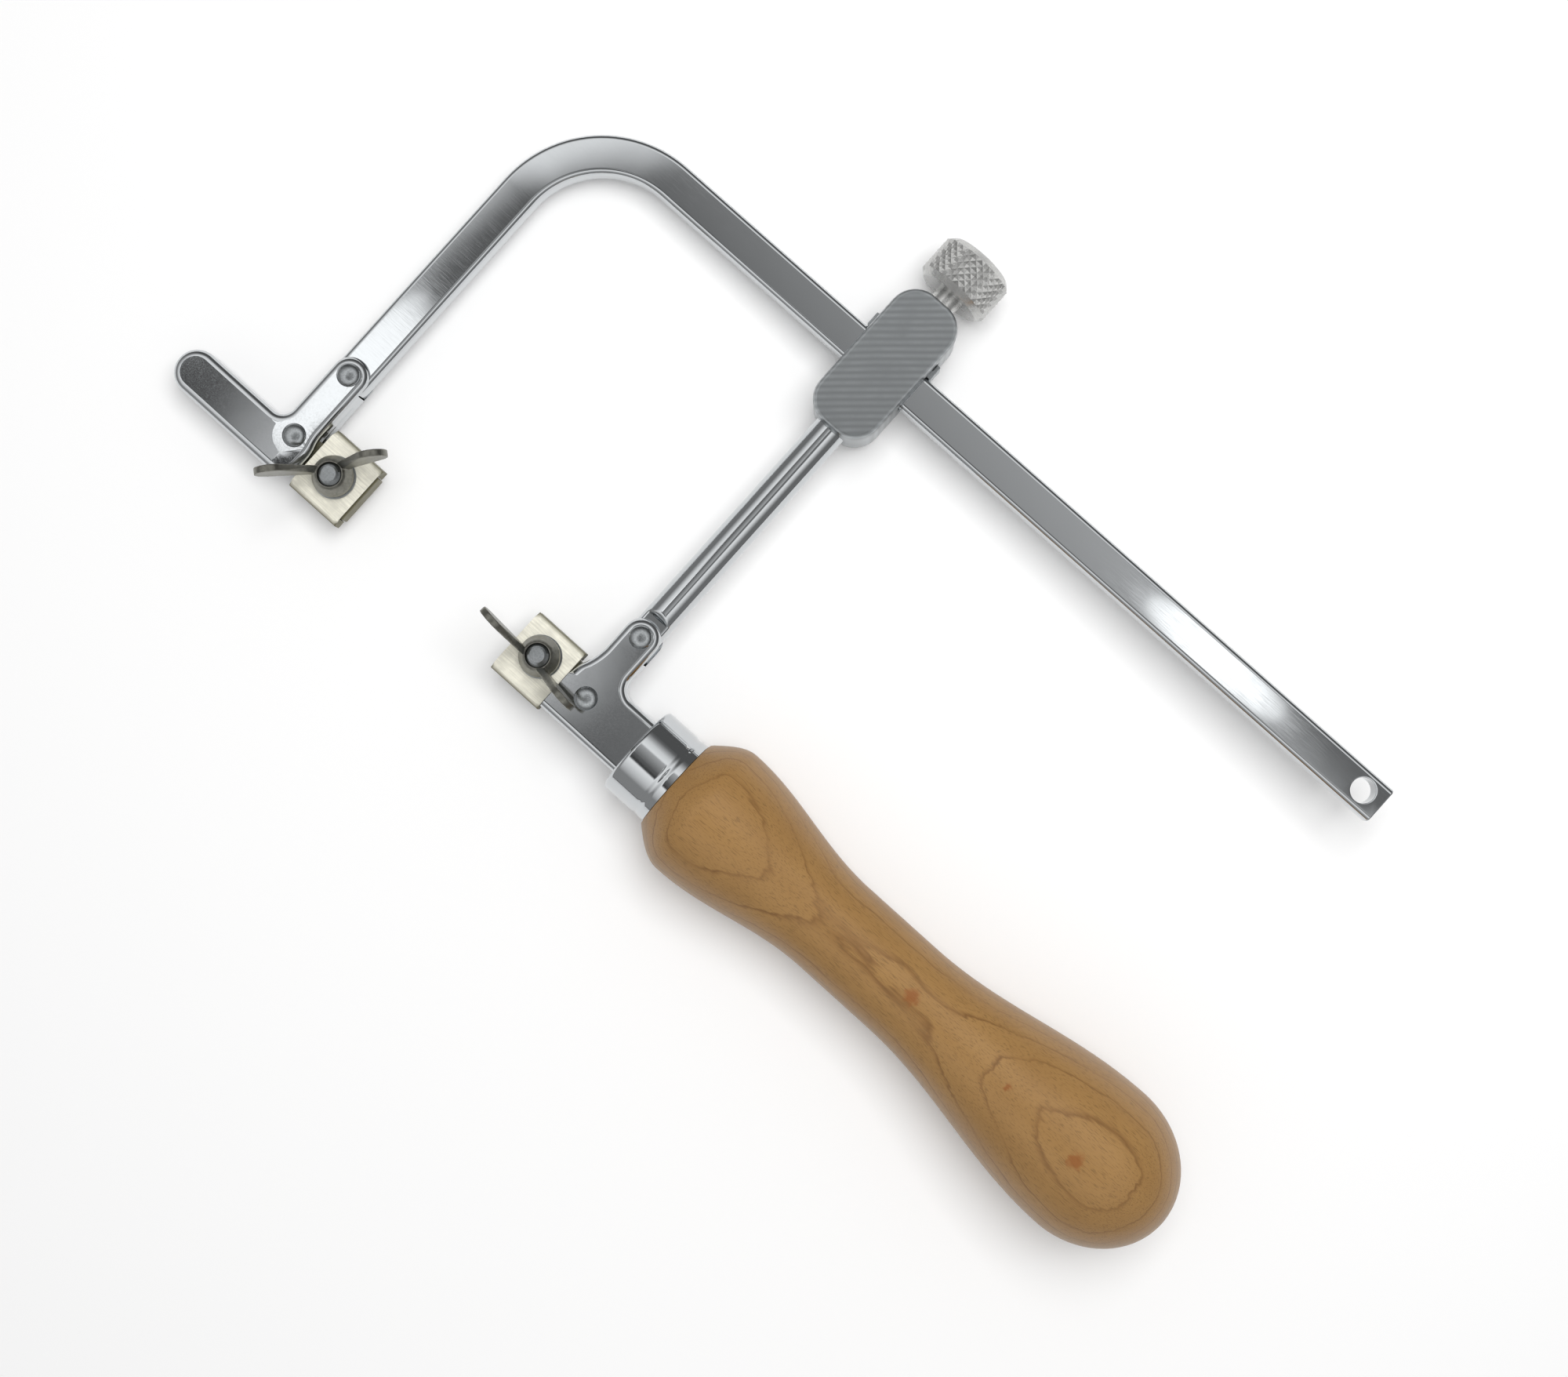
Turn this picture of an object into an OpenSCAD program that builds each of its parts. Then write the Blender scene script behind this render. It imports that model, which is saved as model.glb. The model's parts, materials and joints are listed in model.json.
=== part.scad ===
// Adjustable fret saw frame with a turned wooden handle.
// The blade line is the X axis: +X runs back along the handle to its butt, +Y up to the back of
// the bow, and +Z stands square to the flat of the frame. The origin lies on the handle's axis,
// where the wood begins.

/* [Handle] */
// Length of the wooden handle
handle_len = 110.8; // [90:0.2:130]
// Diameter of the swell behind the ferrule
swell_d = 25.9; // [21:0.1:30]
// Diameter of the waist
waist_d = 17.9; // [14:0.1:20]
// Diameter of the bulb at the butt
bulb_d = 28.6; // [22:0.1:36]
// Diameter of the wood where it meets the ferrule
shoulder_d = 18.8; // [17.4:0.1:21]

/* [Ferrule] */
// Outside diameter of the ferrule
ferrule_d = 17; // [15.6:0.1:17.4]
// Length of the ferrule
ferrule_len = 9.3; // [7:0.1:16]
// Thickness of the ferrule's tube and front wall
ferrule_wall = 0.8; // [0.5:0.1:1]

/* [Bow] */
// Width of the flat bar
bar_w = 7; // [6:0.1:8]
// Thickness of the flat bar
bar_t = 4; // [3:0.1:5]
// Radius along the bar's long edges
bar_edge_r = 1.2; // [0.4:0.1:1.4]
// Height of the bar's middle over the blade line
bow_height = 77.4; // [60:0.2:150]
// Radius of the bend, to the middle of the bar
bend_r = 19; // [12:0.5:30]
// Distance from the post to the short arm, as set
arm_span = 68; // [60:0.5:110]
// Length of bar that stands out behind the post
bar_tail = 113; // [60:1:160]
// Diameter of the hole at the bar's end
hang_hole_d = 4.4; // [3:0.1:4.8]
// Distance from the bar's end to that hole's middle
hang_hole_inset = 4.1; // [3.5:0.1:8]

/* [Post and block] */
// Distance from the wood to the post's axis
post_setback = 21.2; // [20:0.2:30]
// Diameter of the post
post_d = 6; // [5:0.1:6.6]
// Width of the slider block
block_w = 13; // [11:0.2:18]
// Length of the slider block
block_len = 28.7; // [27:0.2:36]
// Thickness of the slider block
block_t = 10.4; // [9:0.2:14]
// Corner radius of the slider block
block_corner_r = 5; // [2:0.1:5.4]
// Chamfer round the slider block's faces
block_chamfer = 0.8; // [0.2:0.1:1.2]
// Depth of block below the bar
block_foot = 10.8; // [9.6:0.2:14]

/* [Thumb screw] */
// Diameter of the knurled head
knob_d = 14; // [10:0.2:18]
// Length of the knurled head
knob_len = 8.3; // [5:0.1:12]
// Diameter of the screw
screw_d = 5; // [4:0.1:6]
// Length of the neck between block and head
neck_len = 2.3; // [1.8:0.1:5]
// Thickness of the pressure shoe on the bar
shoe_t = 1.5; // [1:0.1:2]

/* [Pressed shells] */
// Thickness of the pressed sheet
sheet_t = 1.4; // [1.1:0.05:1.6]
// Radius of the rolled-over rim
rim_r = 1.4; // [0.8:0.05:1.6]
// Height of the upper rivets over the blade line
pivot_height = 14.8; // [13.5:0.1:20]
// Height of the clamp rivets over the blade line
clamp_rivet_rise = 0.8; // [0:0.1:1.5]
// Diameter of the rivets
rivet_d = 2.6; // [2:0.1:3]
// Diameter of the rivet heads
rivet_head_d = 4.2; // [3.6:0.1:5]
// Rise of the domed rivet heads
rivet_head_h = 1; // [0.6:0.1:1.4]
// Width of both rivet arms
link_w = 6.8; // [6.4:0.1:7.4]
// Width of the tension lever
lever_w = 8.1; // [7:0.1:9.6]
// Reach of the tension lever in front of the arm
lever_reach = 24.4; // [18:0.2:40]
// Depth of the lever's middle below the blade line
lever_drop = 2.45; // [1.6:0.05:3]
// Depth of the lever's dish beside its clamp rivet
dish_depth = 1.1; // [0.4:0.05:1.2]
// Depth of the lever's dish at its tip
dish_tip_depth = 0.15; // [0.1:0.05:0.4]
// Radius of the flat that is left round the clamp rivet
dish_step_r = 3.8; // [3:0.1:4.4]
// Width of the bracket's body
bracket_w = 11; // [10:0.1:11.6]
// Length of bracket in front of the post
bracket_nose = 5.1; // [4.6:0.1:6.5]
// Radius of the bracket's inner corner
bracket_fillet_r = 2.8; // [1:0.1:4]
// Radius of the lever's inner corner
lever_fillet_r = 2.5; // [1:0.1:4]

/* [Blade clamps] */
// Length of each jaw along the blade
jaw_len = 10.9; // [8:0.1:11.4]
// Width of each jaw across the blade
jaw_w = 12.8; // [11.6:0.1:14]
// Thickness of the jaw plate's sheet
jaw_t = 1.5; // [1:0.1:2]
// Depth of the jaw plate's turned-down sides below the blade
jaw_skirt = 2; // [1.6:0.1:3]
// Thickness of the fixed jaw under the blade
pad_t = 3.4; // [2.6:0.1:4]
// Gap left for the blade
blade_gap = 0.3; // [0.1:0.05:0.6]
// Diameter of the clamp studs
stud_d = 4; // [3:0.1:4.4]
// Diameter of the clamp washers
washer_d = 7.6; // [6.6:0.1:9]
// Thickness of the clamp washers
washer_t = 0.8; // [0.5:0.1:1.2]
// Offset of the lower stud from the blade line
lower_stud_rise = 0.8; // [0:0.1:1.2]
// Length of the tang inside the handle
tang_len = 42; // [25:1:60]
// Width of the tang
tang_w = 6; // [4:0.1:6.6]

/* [Wing nuts] */
// Span across the wings
wing_span = 22.8; // [18:0.2:28]
// Height of the wing tips over the nut's base
wing_h = 11; // [9:0.2:14]
// Thickness of the wings
wing_t = 1.2; // [1:0.1:1.8]
// Radius of the wing tips
wing_tip_r = 2.7; // [1.5:0.1:3.4]
// Offset of the wings from the nut's axis
wing_offset = 1.2; // [0:0.1:1.4]
// Diameter of the nut's foot
nut_foot_d = 7.2; // [6.6:0.1:9]
// Diameter of the nut's top
nut_top_d = 5.4; // [5.2:0.1:6.6]
// Height of the nut's body
nut_h = 3.4; // [2.8:0.1:6]
// Angle of the upper wings to the blade line
upper_wing_angle = 50; // [0:1:180]
// Angle of the lower wings to the blade line
lower_wing_angle = 174; // [0:1:180]

/* [Hidden] */
$fn = 64;

// Fits and cuts
// Play of a flat that slides on another
slide_gap = 0.1;
// Play of a pin that turns in its hole, on the radius
pin_gap = 0.05;
// Play of a seat that is pressed or riveted tight
seat_gap = 0.02;
// Air between a clamp and the shell beside it
side_gap = 0.25;
// Overrun of every cut
over = 1;

// Handle stations, as shares of its length
swell_share = 0.064;
waist_from_share = 0.33;
waist_to_share = 0.47;
bulb_share = 0.855;
// Steps along each curved stretch of the handle
handle_steps = 12;

// Places on the frame
post_x = -post_setback;
arm_x = post_x - arm_span;
bar_end_x = post_x + bar_tail;
bar_low_y = bow_height - bar_w / 2;
bar_high_y = bow_height + bar_w / 2;
shell_gap = bar_t / 2 + slide_gap;
shell_top = shell_gap + sheet_t;
link_r = link_w / 2;
lever_r = lever_w / 2;
lever_end_x = arm_x - lever_reach + lever_r;
bar_end_r = bar_w / 2;
rivet_r = rivet_d / 2;

// Slider block and thumb screw
block_y = bar_low_y - block_foot;
block_top_y = block_y + block_len;
shoe_y = bar_high_y + pin_gap;
screw_tip_y = shoe_y + shoe_t + pin_gap;
// Travel of the shoe as the thumb screw backs off
shoe_lift = 1.6;
slot_top_y = shoe_y + shoe_t + shoe_lift + slide_gap;
// Depth of the post's seat in the block
post_seat = 7;
// Height of the post's flattened end above its rivet
flat_rise = 4.2;
// Length and thickness of the shoe's turned-up ends
shoe_lip = 0.7;
shoe_lip_rise = 1.3;
// Chamfer of the knurled head and the dish in its end
knob_chamfer = 1.1;
knob_dish_d = 8;
knob_dish = 0.4;
knob_y = block_top_y + neck_len;

// Bracket
bracket_x = post_x - bracket_nose;
// Depth of the bracket's tail inside the ferrule
bracket_seat = 3;
bracket_tail_x = -ferrule_len + bracket_seat;
bracket_r = bracket_w / 2;
bracket_hollow_r = bracket_r - sheet_t;
// Air round the ends that sit in the clevises
clevis_gap = 0.3;
ferrule_edge_r = 0.7;

// Clamps
pad_x_lower = bracket_x - side_gap - jaw_len;
pad_x_upper = arm_x + lever_r + side_gap;
jaw_r = jaw_w / 2;
pad_r = jaw_r - jaw_t - slide_gap;
tongue_r = bracket_hollow_r - slide_gap;
upper_tongue_r = min(tongue_r, lever_drop + lever_r - sheet_t - slide_gap);
upper_tongue_x = arm_x - link_r + sheet_t + slide_gap;
// Outer radius of the jaw plate's bends, as a share of its sheet
jaw_bend_share = 0.9;
jaw_bend_r = jaw_t * jaw_bend_share;
jaw_top_z = blade_gap + jaw_t;
washer_top_z = jaw_top_z + washer_t;
nut_z = washer_top_z + pin_gap;
stud_r = stud_d / 2;
// Play of the jaw plate and washer round the stud
stud_play = 0.2;
// Rise of the stud past the nut's top
stud_proud = 0.5;
stud_top_z = nut_z + nut_h + stud_proud;
stud_head_d = 6.4;
stud_head_h = 0.8;
// Height of the wings' lower root over the nut's base
wing_root = 1.2;
// Chamfer round the nut's top
nut_edge = 0.4;
// Pointed stretch of the tang, as a share of its length
tang_point_share = 0.35;

// Extrudes a profile drawn in Y and Z along +X, from zero to len
module along_x(len) {
    rotate([90, 0, 90]) linear_extrude(len) children();
}

// Extrudes a profile drawn in X and Z along +Y, from zero to len
module along_y(len) {
    translate([0, len, 0]) rotate([90, 0, 0]) linear_extrude(len) children();
}

// Bar section with rounded edges, width across and thickness up
module bar_section() {
    square([bar_w, bar_t - 2 * bar_edge_r], center = true);
    square([bar_w - 2 * bar_edge_r, bar_t], center = true);
    for (side = [-1, 1], face = [-1, 1])
        translate([side * (bar_w / 2 - bar_edge_r), face * (bar_t / 2 - bar_edge_r)])
            circle(bar_edge_r);
}

// Section of a pressed half shell: flat top at shell_top with rolled-over rims
module rim_section(half_w) {
    translate([-half_w, 0]) square([2 * half_w, shell_top - rim_r]);
    translate([-half_w + rim_r, 0]) square([2 * (half_w - rim_r), shell_top]);
    for (side = [-1, 1])
        translate([side * (half_w - rim_r), shell_top - rim_r]) circle(rim_r);
}

// Round end of a pressed half shell
module rim_disc(r) {
    rotate_extrude() {
        square([r, shell_top - rim_r]);
        square([r - rim_r, shell_top]);
        translate([r - rim_r, shell_top - rim_r]) circle(rim_r);
    }
}

// Inner corner of a half shell, between edges along +X and +Y from the origin: it overlaps both
// arms by the width of their rims, and its own rim runs round the hollow of radius r
module corner_web(r) {
    difference() {
        linear_extrude(shell_top) difference() {
            translate([-rim_r, -rim_r]) square(r + rim_r);
            translate([r, r]) circle(r);
        }
        translate([r, r, shell_top - rim_r]) rotate_extrude() difference() {
            translate([r, 0]) square([rim_r, rim_r + over]);
            translate([r + rim_r, 0]) circle(rim_r);
        }
    }
}

// Slab with round corners and chamfered faces, in the XY plane, centred on the origin
module chamfered_slab(w, len, t, corner_r, chamfer) {
    function half_section(u) = [[0, -t / 2], [u - chamfer, -t / 2], [u, -t / 2 + chamfer],
        [u, t / 2 - chamfer], [u - chamfer, t / 2], [0, t / 2]];
    for (sx = [-1, 1], sy = [-1, 1])
        translate([sx * (w / 2 - corner_r), sy * (len / 2 - corner_r), 0])
            rotate_extrude() polygon(half_section(corner_r));
    for (side = [0, 1]) mirror([side, 0, 0]) {
        translate([0, corner_r - len / 2, 0])
            along_y(len - 2 * corner_r) polygon(half_section(w / 2));
    }
    for (side = [0, 1]) mirror([0, side, 0]) {
        translate([corner_r - w / 2, 0, 0])
            along_x(w - 2 * corner_r) polygon(half_section(len / 2));
    }
}

// Radius of the handle at a share of its length, up to the bulb
function ease(t) = (1 - cos(180 * t)) / 2;
function between(a, b, t) = a + (b - a) * ease(t);
function handle_r(s) =
    s < swell_share ? shoulder_d / 2 + (swell_d - shoulder_d) / 2 * sin(90 * s / swell_share) :
    s < waist_from_share ?
        between(swell_d, waist_d, (s - swell_share) / (waist_from_share - swell_share)) / 2 :
    s < waist_to_share ? waist_d / 2 :
    between(waist_d, bulb_d, (s - waist_to_share) / (bulb_share - waist_to_share)) / 2;

// Turned beech handle with its spigot in the ferrule and the slot for the tang
module handle() {
    spigot_r = ferrule_d / 2 - ferrule_wall - seat_gap;
    end_len = handle_len * (1 - bulb_share);
    front = [for (i = [0 : handle_steps]) swell_share * i / handle_steps];
    taper = [for (i = [1 : handle_steps])
        swell_share + (waist_from_share - swell_share) * i / handle_steps];
    grip = [for (i = [0 : handle_steps])
        waist_to_share + (bulb_share - waist_to_share) * i / handle_steps];
    color("#a8824f") difference() {
        rotate([0, 90, 0]) rotate_extrude() polygon(concat(
            [[0, bracket_tail_x + seat_gap], [spigot_r, bracket_tail_x + seat_gap], [spigot_r, 0]],
            [for (s = concat(front, taper, grip)) [handle_r(s), s * handle_len]],
            [for (i = [1 : handle_steps]) let (a = 90 * i / handle_steps)
                [bulb_d / 2 * cos(a), bulb_share * handle_len + end_len * sin(a)]]));
        translate([bracket_tail_x - over, -tang_w / 2 - seat_gap, -bar_t / 2 - seat_gap])
            cube([tang_len - bracket_tail_x + over + seat_gap, tang_w + 2 * seat_gap,
                bar_t + 2 * seat_gap]);
    }
}

// Tube ferrule with a front wall that is slotted for the bracket's tail
module ferrule() {
    r = ferrule_d / 2;
    color("#c8ccd0") difference() {
        translate([-ferrule_len, 0, 0]) rotate([0, 90, 0]) rotate_extrude() difference() {
            union() {
                translate([0, ferrule_edge_r]) square([r, ferrule_len - ferrule_edge_r]);
                square([r - ferrule_edge_r, ferrule_len]);
                translate([r - ferrule_edge_r, ferrule_edge_r]) circle(ferrule_edge_r);
            }
            translate([0, ferrule_wall]) square([r - ferrule_wall, ferrule_len]);
        }
        translate([-ferrule_len - over, -bracket_r - seat_gap, -shell_top - seat_gap])
            cube([ferrule_wall + 2 * over, bracket_w + 2 * seat_gap, 2 * (shell_top + seat_gap)]);
    }
}

// Upper half of the pressed bracket that joins the post, the lower clamp and the handle
module bracket_half() {
    clevis_y = pivot_height - post_d / 2 - clevis_gap;
    difference() {
        union() {
            translate([bracket_x, 0, 0])
                along_x(bracket_tail_x - bracket_x) rim_section(bracket_r);
            translate([post_x, 0, 0]) along_y(pivot_height) rim_section(link_r);
            translate([post_x, pivot_height, 0]) rim_disc(link_r);
            translate([post_x + link_r, bracket_r, 0]) corner_web(bracket_fillet_r);
            translate([post_x - link_r, bracket_r, 0]) mirror([1, 0, 0])
                corner_web(bracket_nose - link_r);
        }
        translate([bracket_x - over, -bracket_hollow_r, -over])
            cube([bracket_tail_x - bracket_x + 2 * over, 2 * bracket_hollow_r, shell_gap + over]);
        translate([post_x - link_r + sheet_t, 0, -over])
            cube([link_w - 2 * sheet_t, clevis_y + over, shell_gap + over]);
        translate([post_x - link_w, clevis_y, -over])
            cube([2 * link_w, pivot_height, shell_gap + over]);
        for (y = [clamp_rivet_rise, pivot_height])
            translate([post_x, y, 0]) cylinder(r = rivet_r + seat_gap, h = shell_top + over);
    }
}

module bracket_front_shell() {
    color("#b9bdc1") bracket_half();
}

module bracket_back_shell() {
    color("#b9bdc1") mirror([0, 0, 1]) bracket_half();
}

// Dish in the lever's face, which ends in a step round the clamp rivet
module lever_dish() {
    r = lever_r - rim_r;
    root_x = arm_x - lever_r;
    tip_x = lever_end_x - r;
    intersection() {
        translate([0, 0, shell_top - sheet_t]) linear_extrude(sheet_t + over) difference() {
            union() {
                translate([lever_end_x, -lever_drop - r]) square([root_x - r - lever_end_x, 2 * r]);
                for (x = [lever_end_x, root_x - r]) translate([x, -lever_drop]) circle(r);
            }
            translate([arm_x, clamp_rivet_rise]) circle(dish_step_r);
        }
        translate([0, -lever_drop - lever_r, 0]) along_y(lever_w) polygon([
            [tip_x, shell_top - dish_tip_depth], [root_x, shell_top - dish_depth],
            [root_x, shell_top + over], [tip_x, shell_top + over]]);
    }
}

// Upper half of the pressed tension lever with its clevis for the bow's end
module lever_half() {
    clevis_y = pivot_height - bar_end_r - clevis_gap;
    difference() {
        union() {
            translate([arm_x, pivot_height, 0]) rim_disc(link_r);
            translate([arm_x, -lever_drop, 0])
                along_y(pivot_height + lever_drop) rim_section(link_r);
            translate([arm_x, -lever_drop, 0]) rim_disc(lever_r);
            translate([lever_end_x, -lever_drop, 0])
                along_x(arm_x - lever_end_x) rim_section(lever_r);
            translate([lever_end_x, -lever_drop, 0]) rim_disc(lever_r);
            translate([arm_x - link_r, lever_r - lever_drop, 0]) mirror([1, 0, 0])
                corner_web(lever_fillet_r);
        }
        lever_dish();
        translate([lever_end_x, -lever_drop - lever_r + sheet_t, -over])
            cube([arm_x - lever_end_x, lever_w - 2 * sheet_t, shell_gap - dish_depth + over]);
        translate([lever_end_x, -lever_drop, -over])
            cylinder(r = lever_r - sheet_t, h = shell_gap - dish_depth + over);
        translate([arm_x, -lever_drop, -over])
            cylinder(r = lever_r - sheet_t, h = shell_gap + over);
        translate([arm_x - link_r + sheet_t, -lever_drop, -over])
            cube([link_w - 2 * sheet_t, clevis_y + lever_drop + over, shell_gap + over]);
        translate([arm_x - link_w, clevis_y, -over])
            cube([2 * link_w, pivot_height, shell_gap + over]);
        translate([upper_tongue_x - slide_gap, -upper_tongue_r - slide_gap, -over])
            cube([link_w + lever_w, 2 * (upper_tongue_r + slide_gap), shell_gap + over]);
        for (y = [clamp_rivet_rise, pivot_height])
            translate([arm_x, y, 0]) cylinder(r = rivet_r + seat_gap, h = shell_top + over);
    }
}

module lever_front_shell() {
    color("#c2c6ca") lever_half();
}

module lever_back_shell() {
    color("#c2c6ca") mirror([0, 0, 1]) lever_half();
}

// Rivet through both shells with a domed head on each side
module rivet() {
    head_r = rivet_head_d / 2;
    dome_r = (head_r * head_r + rivet_head_h * rivet_head_h) / (2 * rivet_head_h);
    color("#9fa4a8") {
        translate([0, 0, -shell_top]) cylinder(r = rivet_r, h = 2 * shell_top);
        for (side = [0, 1]) mirror([0, 0, side]) intersection() {
            translate([0, 0, shell_top + rivet_head_h - dome_r]) sphere(dome_r);
            translate([0, 0, shell_top]) cylinder(r = rivet_head_d, h = rivet_head_d);
        }
    }
}

module rod_rivet() {
    translate([post_x, pivot_height, 0]) rivet();
}

module lower_clamp_rivet() {
    translate([post_x, clamp_rivet_rise, 0]) rivet();
}

module lever_pivot_rivet() {
    translate([arm_x, pivot_height, 0]) rivet();
}

module upper_clamp_rivet() {
    translate([arm_x, clamp_rivet_rise, 0]) rivet();
}

// Round post with a flattened, rounded foot in the bracket's clevis
module post_rod() {
    r = post_d / 2;
    foot_y = pivot_height - r;
    flat_y = pivot_height + flat_rise;
    color("#c8ccd0") difference() {
        translate([post_x, foot_y, 0]) rotate([-90, 0, 0])
            cylinder(r = r, h = block_y + post_seat - foot_y);
        for (side = [0, 1]) mirror([0, 0, side])
            translate([post_x - post_d, foot_y - over, bar_t / 2])
                cube([2 * post_d, flat_y - foot_y + over, post_d]);
        translate([post_x, pivot_height, -post_d]) linear_extrude(2 * post_d) difference() {
            translate([-post_d, -post_d]) square([2 * post_d, post_d]);
            circle(r);
        }
        translate([post_x, pivot_height, -post_d])
            cylinder(r = rivet_r + seat_gap, h = 2 * post_d);
    }
}

// Milled block that slides on the bar, with the post in its foot and the thumb screw in its head
module slider_block() {
    color("#84888c") difference() {
        translate([post_x, block_y + block_len / 2, 0])
            chamfered_slab(block_w, block_len, block_t, block_corner_r, block_chamfer);
        translate([post_x - block_w, bar_low_y - slide_gap, -bar_t / 2 - slide_gap])
            cube([2 * block_w, slot_top_y - bar_low_y + slide_gap, bar_t + 2 * slide_gap]);
        translate([post_x, block_y - over, 0]) rotate([-90, 0, 0])
            cylinder(r = post_d / 2 + seat_gap, h = post_seat + over);
        translate([post_x, bow_height, 0]) rotate([-90, 0, 0])
            cylinder(r = screw_d / 2 + pin_gap, h = block_len);
    }
}

// Bent flat bar of the bow, round at the lever's pivot and drilled at its free end
module bow_bar() {
    bend_x = arm_x + bend_r;
    bend_y = bow_height - bend_r;
    color("#c4c8cc") difference() {
        union() {
            translate([bend_x, bow_height, 0]) along_x(bar_end_x - bend_x) bar_section();
            translate([bend_x, bend_y, 0]) rotate([0, 0, 90])
                rotate_extrude(angle = 90) translate([bend_r, 0]) bar_section();
            translate([arm_x, pivot_height, 0]) along_y(bend_y - pivot_height) bar_section();
            translate([arm_x, pivot_height, 0]) rotate_extrude() intersection() {
                bar_section();
                translate([0, -bar_t]) square([bar_w, 2 * bar_t]);
            }
        }
        translate([arm_x, pivot_height, -bar_t])
            cylinder(r = rivet_r + pin_gap, h = 2 * bar_t);
        translate([bar_end_x - hang_hole_inset, bow_height, -bar_t])
            cylinder(d = hang_hole_d, h = 2 * bar_t);
    }
}

// Fixed jaw under the blade, from pad_x along +X, drilled for its stud
module jaw_pad(pad_x, stud_y) {
    difference() {
        translate([pad_x, -pad_r, -pad_t]) cube([jaw_len, 2 * pad_r, pad_t]);
        translate([pad_x + jaw_len / 2, stud_y, -pad_t - over])
            cylinder(r = stud_r + seat_gap, h = pad_t + 2 * over);
    }
}

// Lower jaw, tongue and tang in one bar that runs through the bracket into the handle
module lower_jaw_bar() {
    pad_end_x = pad_x_lower + jaw_len;
    point_len = tang_len * tang_point_share;
    color("#aeb2b0") difference() {
        union() {
            jaw_pad(pad_x_lower, lower_stud_rise);
            translate([pad_end_x, -tongue_r, -bar_t / 2])
                cube([bracket_tail_x - pad_end_x, 2 * tongue_r, bar_t]);
            translate([0, 0, -bar_t / 2]) linear_extrude(bar_t) polygon([
                [bracket_tail_x, -tang_w / 2], [tang_len - point_len, -tang_w / 2], [tang_len, 0],
                [tang_len - point_len, tang_w / 2], [bracket_tail_x, tang_w / 2]]);
        }
        translate([post_x, clamp_rivet_rise, -bar_t])
            cylinder(r = rivet_r + seat_gap, h = 2 * bar_t);
    }
}

// Upper jaw with the tongue that is riveted into the lever's elbow
module upper_jaw_bar() {
    color("#aeb2b0") difference() {
        union() {
            jaw_pad(pad_x_upper, 0);
            translate([upper_tongue_x, -upper_tongue_r, -bar_t / 2])
                cube([pad_x_upper - upper_tongue_x, 2 * upper_tongue_r, bar_t]);
        }
        translate([arm_x, clamp_rivet_rise, -bar_t])
            cylinder(r = rivet_r + seat_gap, h = 2 * bar_t);
    }
}

// Clamp stud with its flat head under the fixed jaw
module stud(pad_x, stud_y) {
    color("#8f9396") translate([pad_x + jaw_len / 2, stud_y, 0]) {
        translate([0, 0, -pad_t - stud_head_h]) cylinder(d = stud_head_d, h = stud_head_h);
        translate([0, 0, -pad_t]) cylinder(r = stud_r, h = pad_t + stud_top_z);
    }
}

module lower_stud() {
    stud(pad_x_lower, lower_stud_rise);
}

module upper_stud() {
    stud(pad_x_upper, 0);
}

// Jaw plate: a bent sheet with both sides turned down over the fixed jaw
module jaw_plate(pad_x, stud_y) {
    color("#cfccb6") difference() {
        translate([pad_x, 0, 0]) along_x(jaw_len) {
            translate([-jaw_r + jaw_bend_r, blade_gap]) square([jaw_w - 2 * jaw_bend_r, jaw_t]);
            for (side = [0, 1]) mirror([side, 0]) {
                translate([jaw_r - jaw_bend_r, jaw_top_z - jaw_bend_r]) intersection() {
                    circle(jaw_bend_r);
                    square(jaw_bend_r);
                }
                translate([jaw_r - jaw_t, -jaw_skirt])
                    square([jaw_t, jaw_skirt + jaw_top_z - jaw_bend_r]);
            }
        }
        translate([pad_x + jaw_len / 2, stud_y, -over])
            cylinder(r = stud_r + stud_play, h = jaw_top_z + 2 * over);
    }
}

module lower_jaw_plate() {
    jaw_plate(pad_x_lower, lower_stud_rise);
}

module upper_jaw_plate() {
    jaw_plate(pad_x_upper, 0);
}

module washer(pad_x, stud_y) {
    color("#9a9c96") translate([pad_x + jaw_len / 2, stud_y, jaw_top_z]) difference() {
        cylinder(d = washer_d, h = washer_t);
        translate([0, 0, -over]) cylinder(r = stud_r + stud_play, h = washer_t + 2 * over);
    }
}

module lower_washer() {
    washer(pad_x_lower, lower_stud_rise);
}

module upper_washer() {
    washer(pad_x_upper, 0);
}

// Point where a line from p touches the circle round c, on the chosen side
function tangent_point(p, c, r, side) =
    let (d = p - c, a = atan2(d[1], d[0]) + side * acos(r / norm(d)))
    c + r * [cos(a), sin(a)];

// Wing nut: a tapered body, bored for the stud, with a plate of two upright wings beside its bore
module wing_nut(pad_x, stud_y, angle) {
    tip = [wing_span / 2 - wing_tip_r, wing_h - wing_tip_r];
    low_root = [nut_foot_d / 2 - nut_edge, wing_root];
    high_root = [nut_top_d / 2 - nut_edge, nut_h - nut_edge];
    color("#8b8d86") translate([pad_x + jaw_len / 2, stud_y, nut_z]) rotate([0, 0, angle])
        difference() {
            union() {
                rotate_extrude() polygon([[0, 0], [nut_foot_d / 2, 0], [nut_foot_d / 2, wing_root],
                    [nut_top_d / 2, nut_h - nut_edge], [nut_top_d / 2 - nut_edge, nut_h],
                    [0, nut_h]]);
                translate([0, wing_offset + wing_t / 2, 0]) rotate([90, 0, 0])
                    linear_extrude(wing_t) for (half = [0, 1]) mirror([half, 0]) {
                        polygon([[0, wing_root], low_root,
                            tangent_point(low_root, tip, wing_tip_r, 1), tip,
                            tangent_point(high_root, tip, wing_tip_r, -1), high_root,
                            [0, nut_h - nut_edge]]);
                        translate(tip) circle(wing_tip_r);
                    }
            }
            translate([0, 0, -over]) cylinder(r = stud_r + pin_gap, h = nut_h + 2 * over);
        }
}

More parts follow.
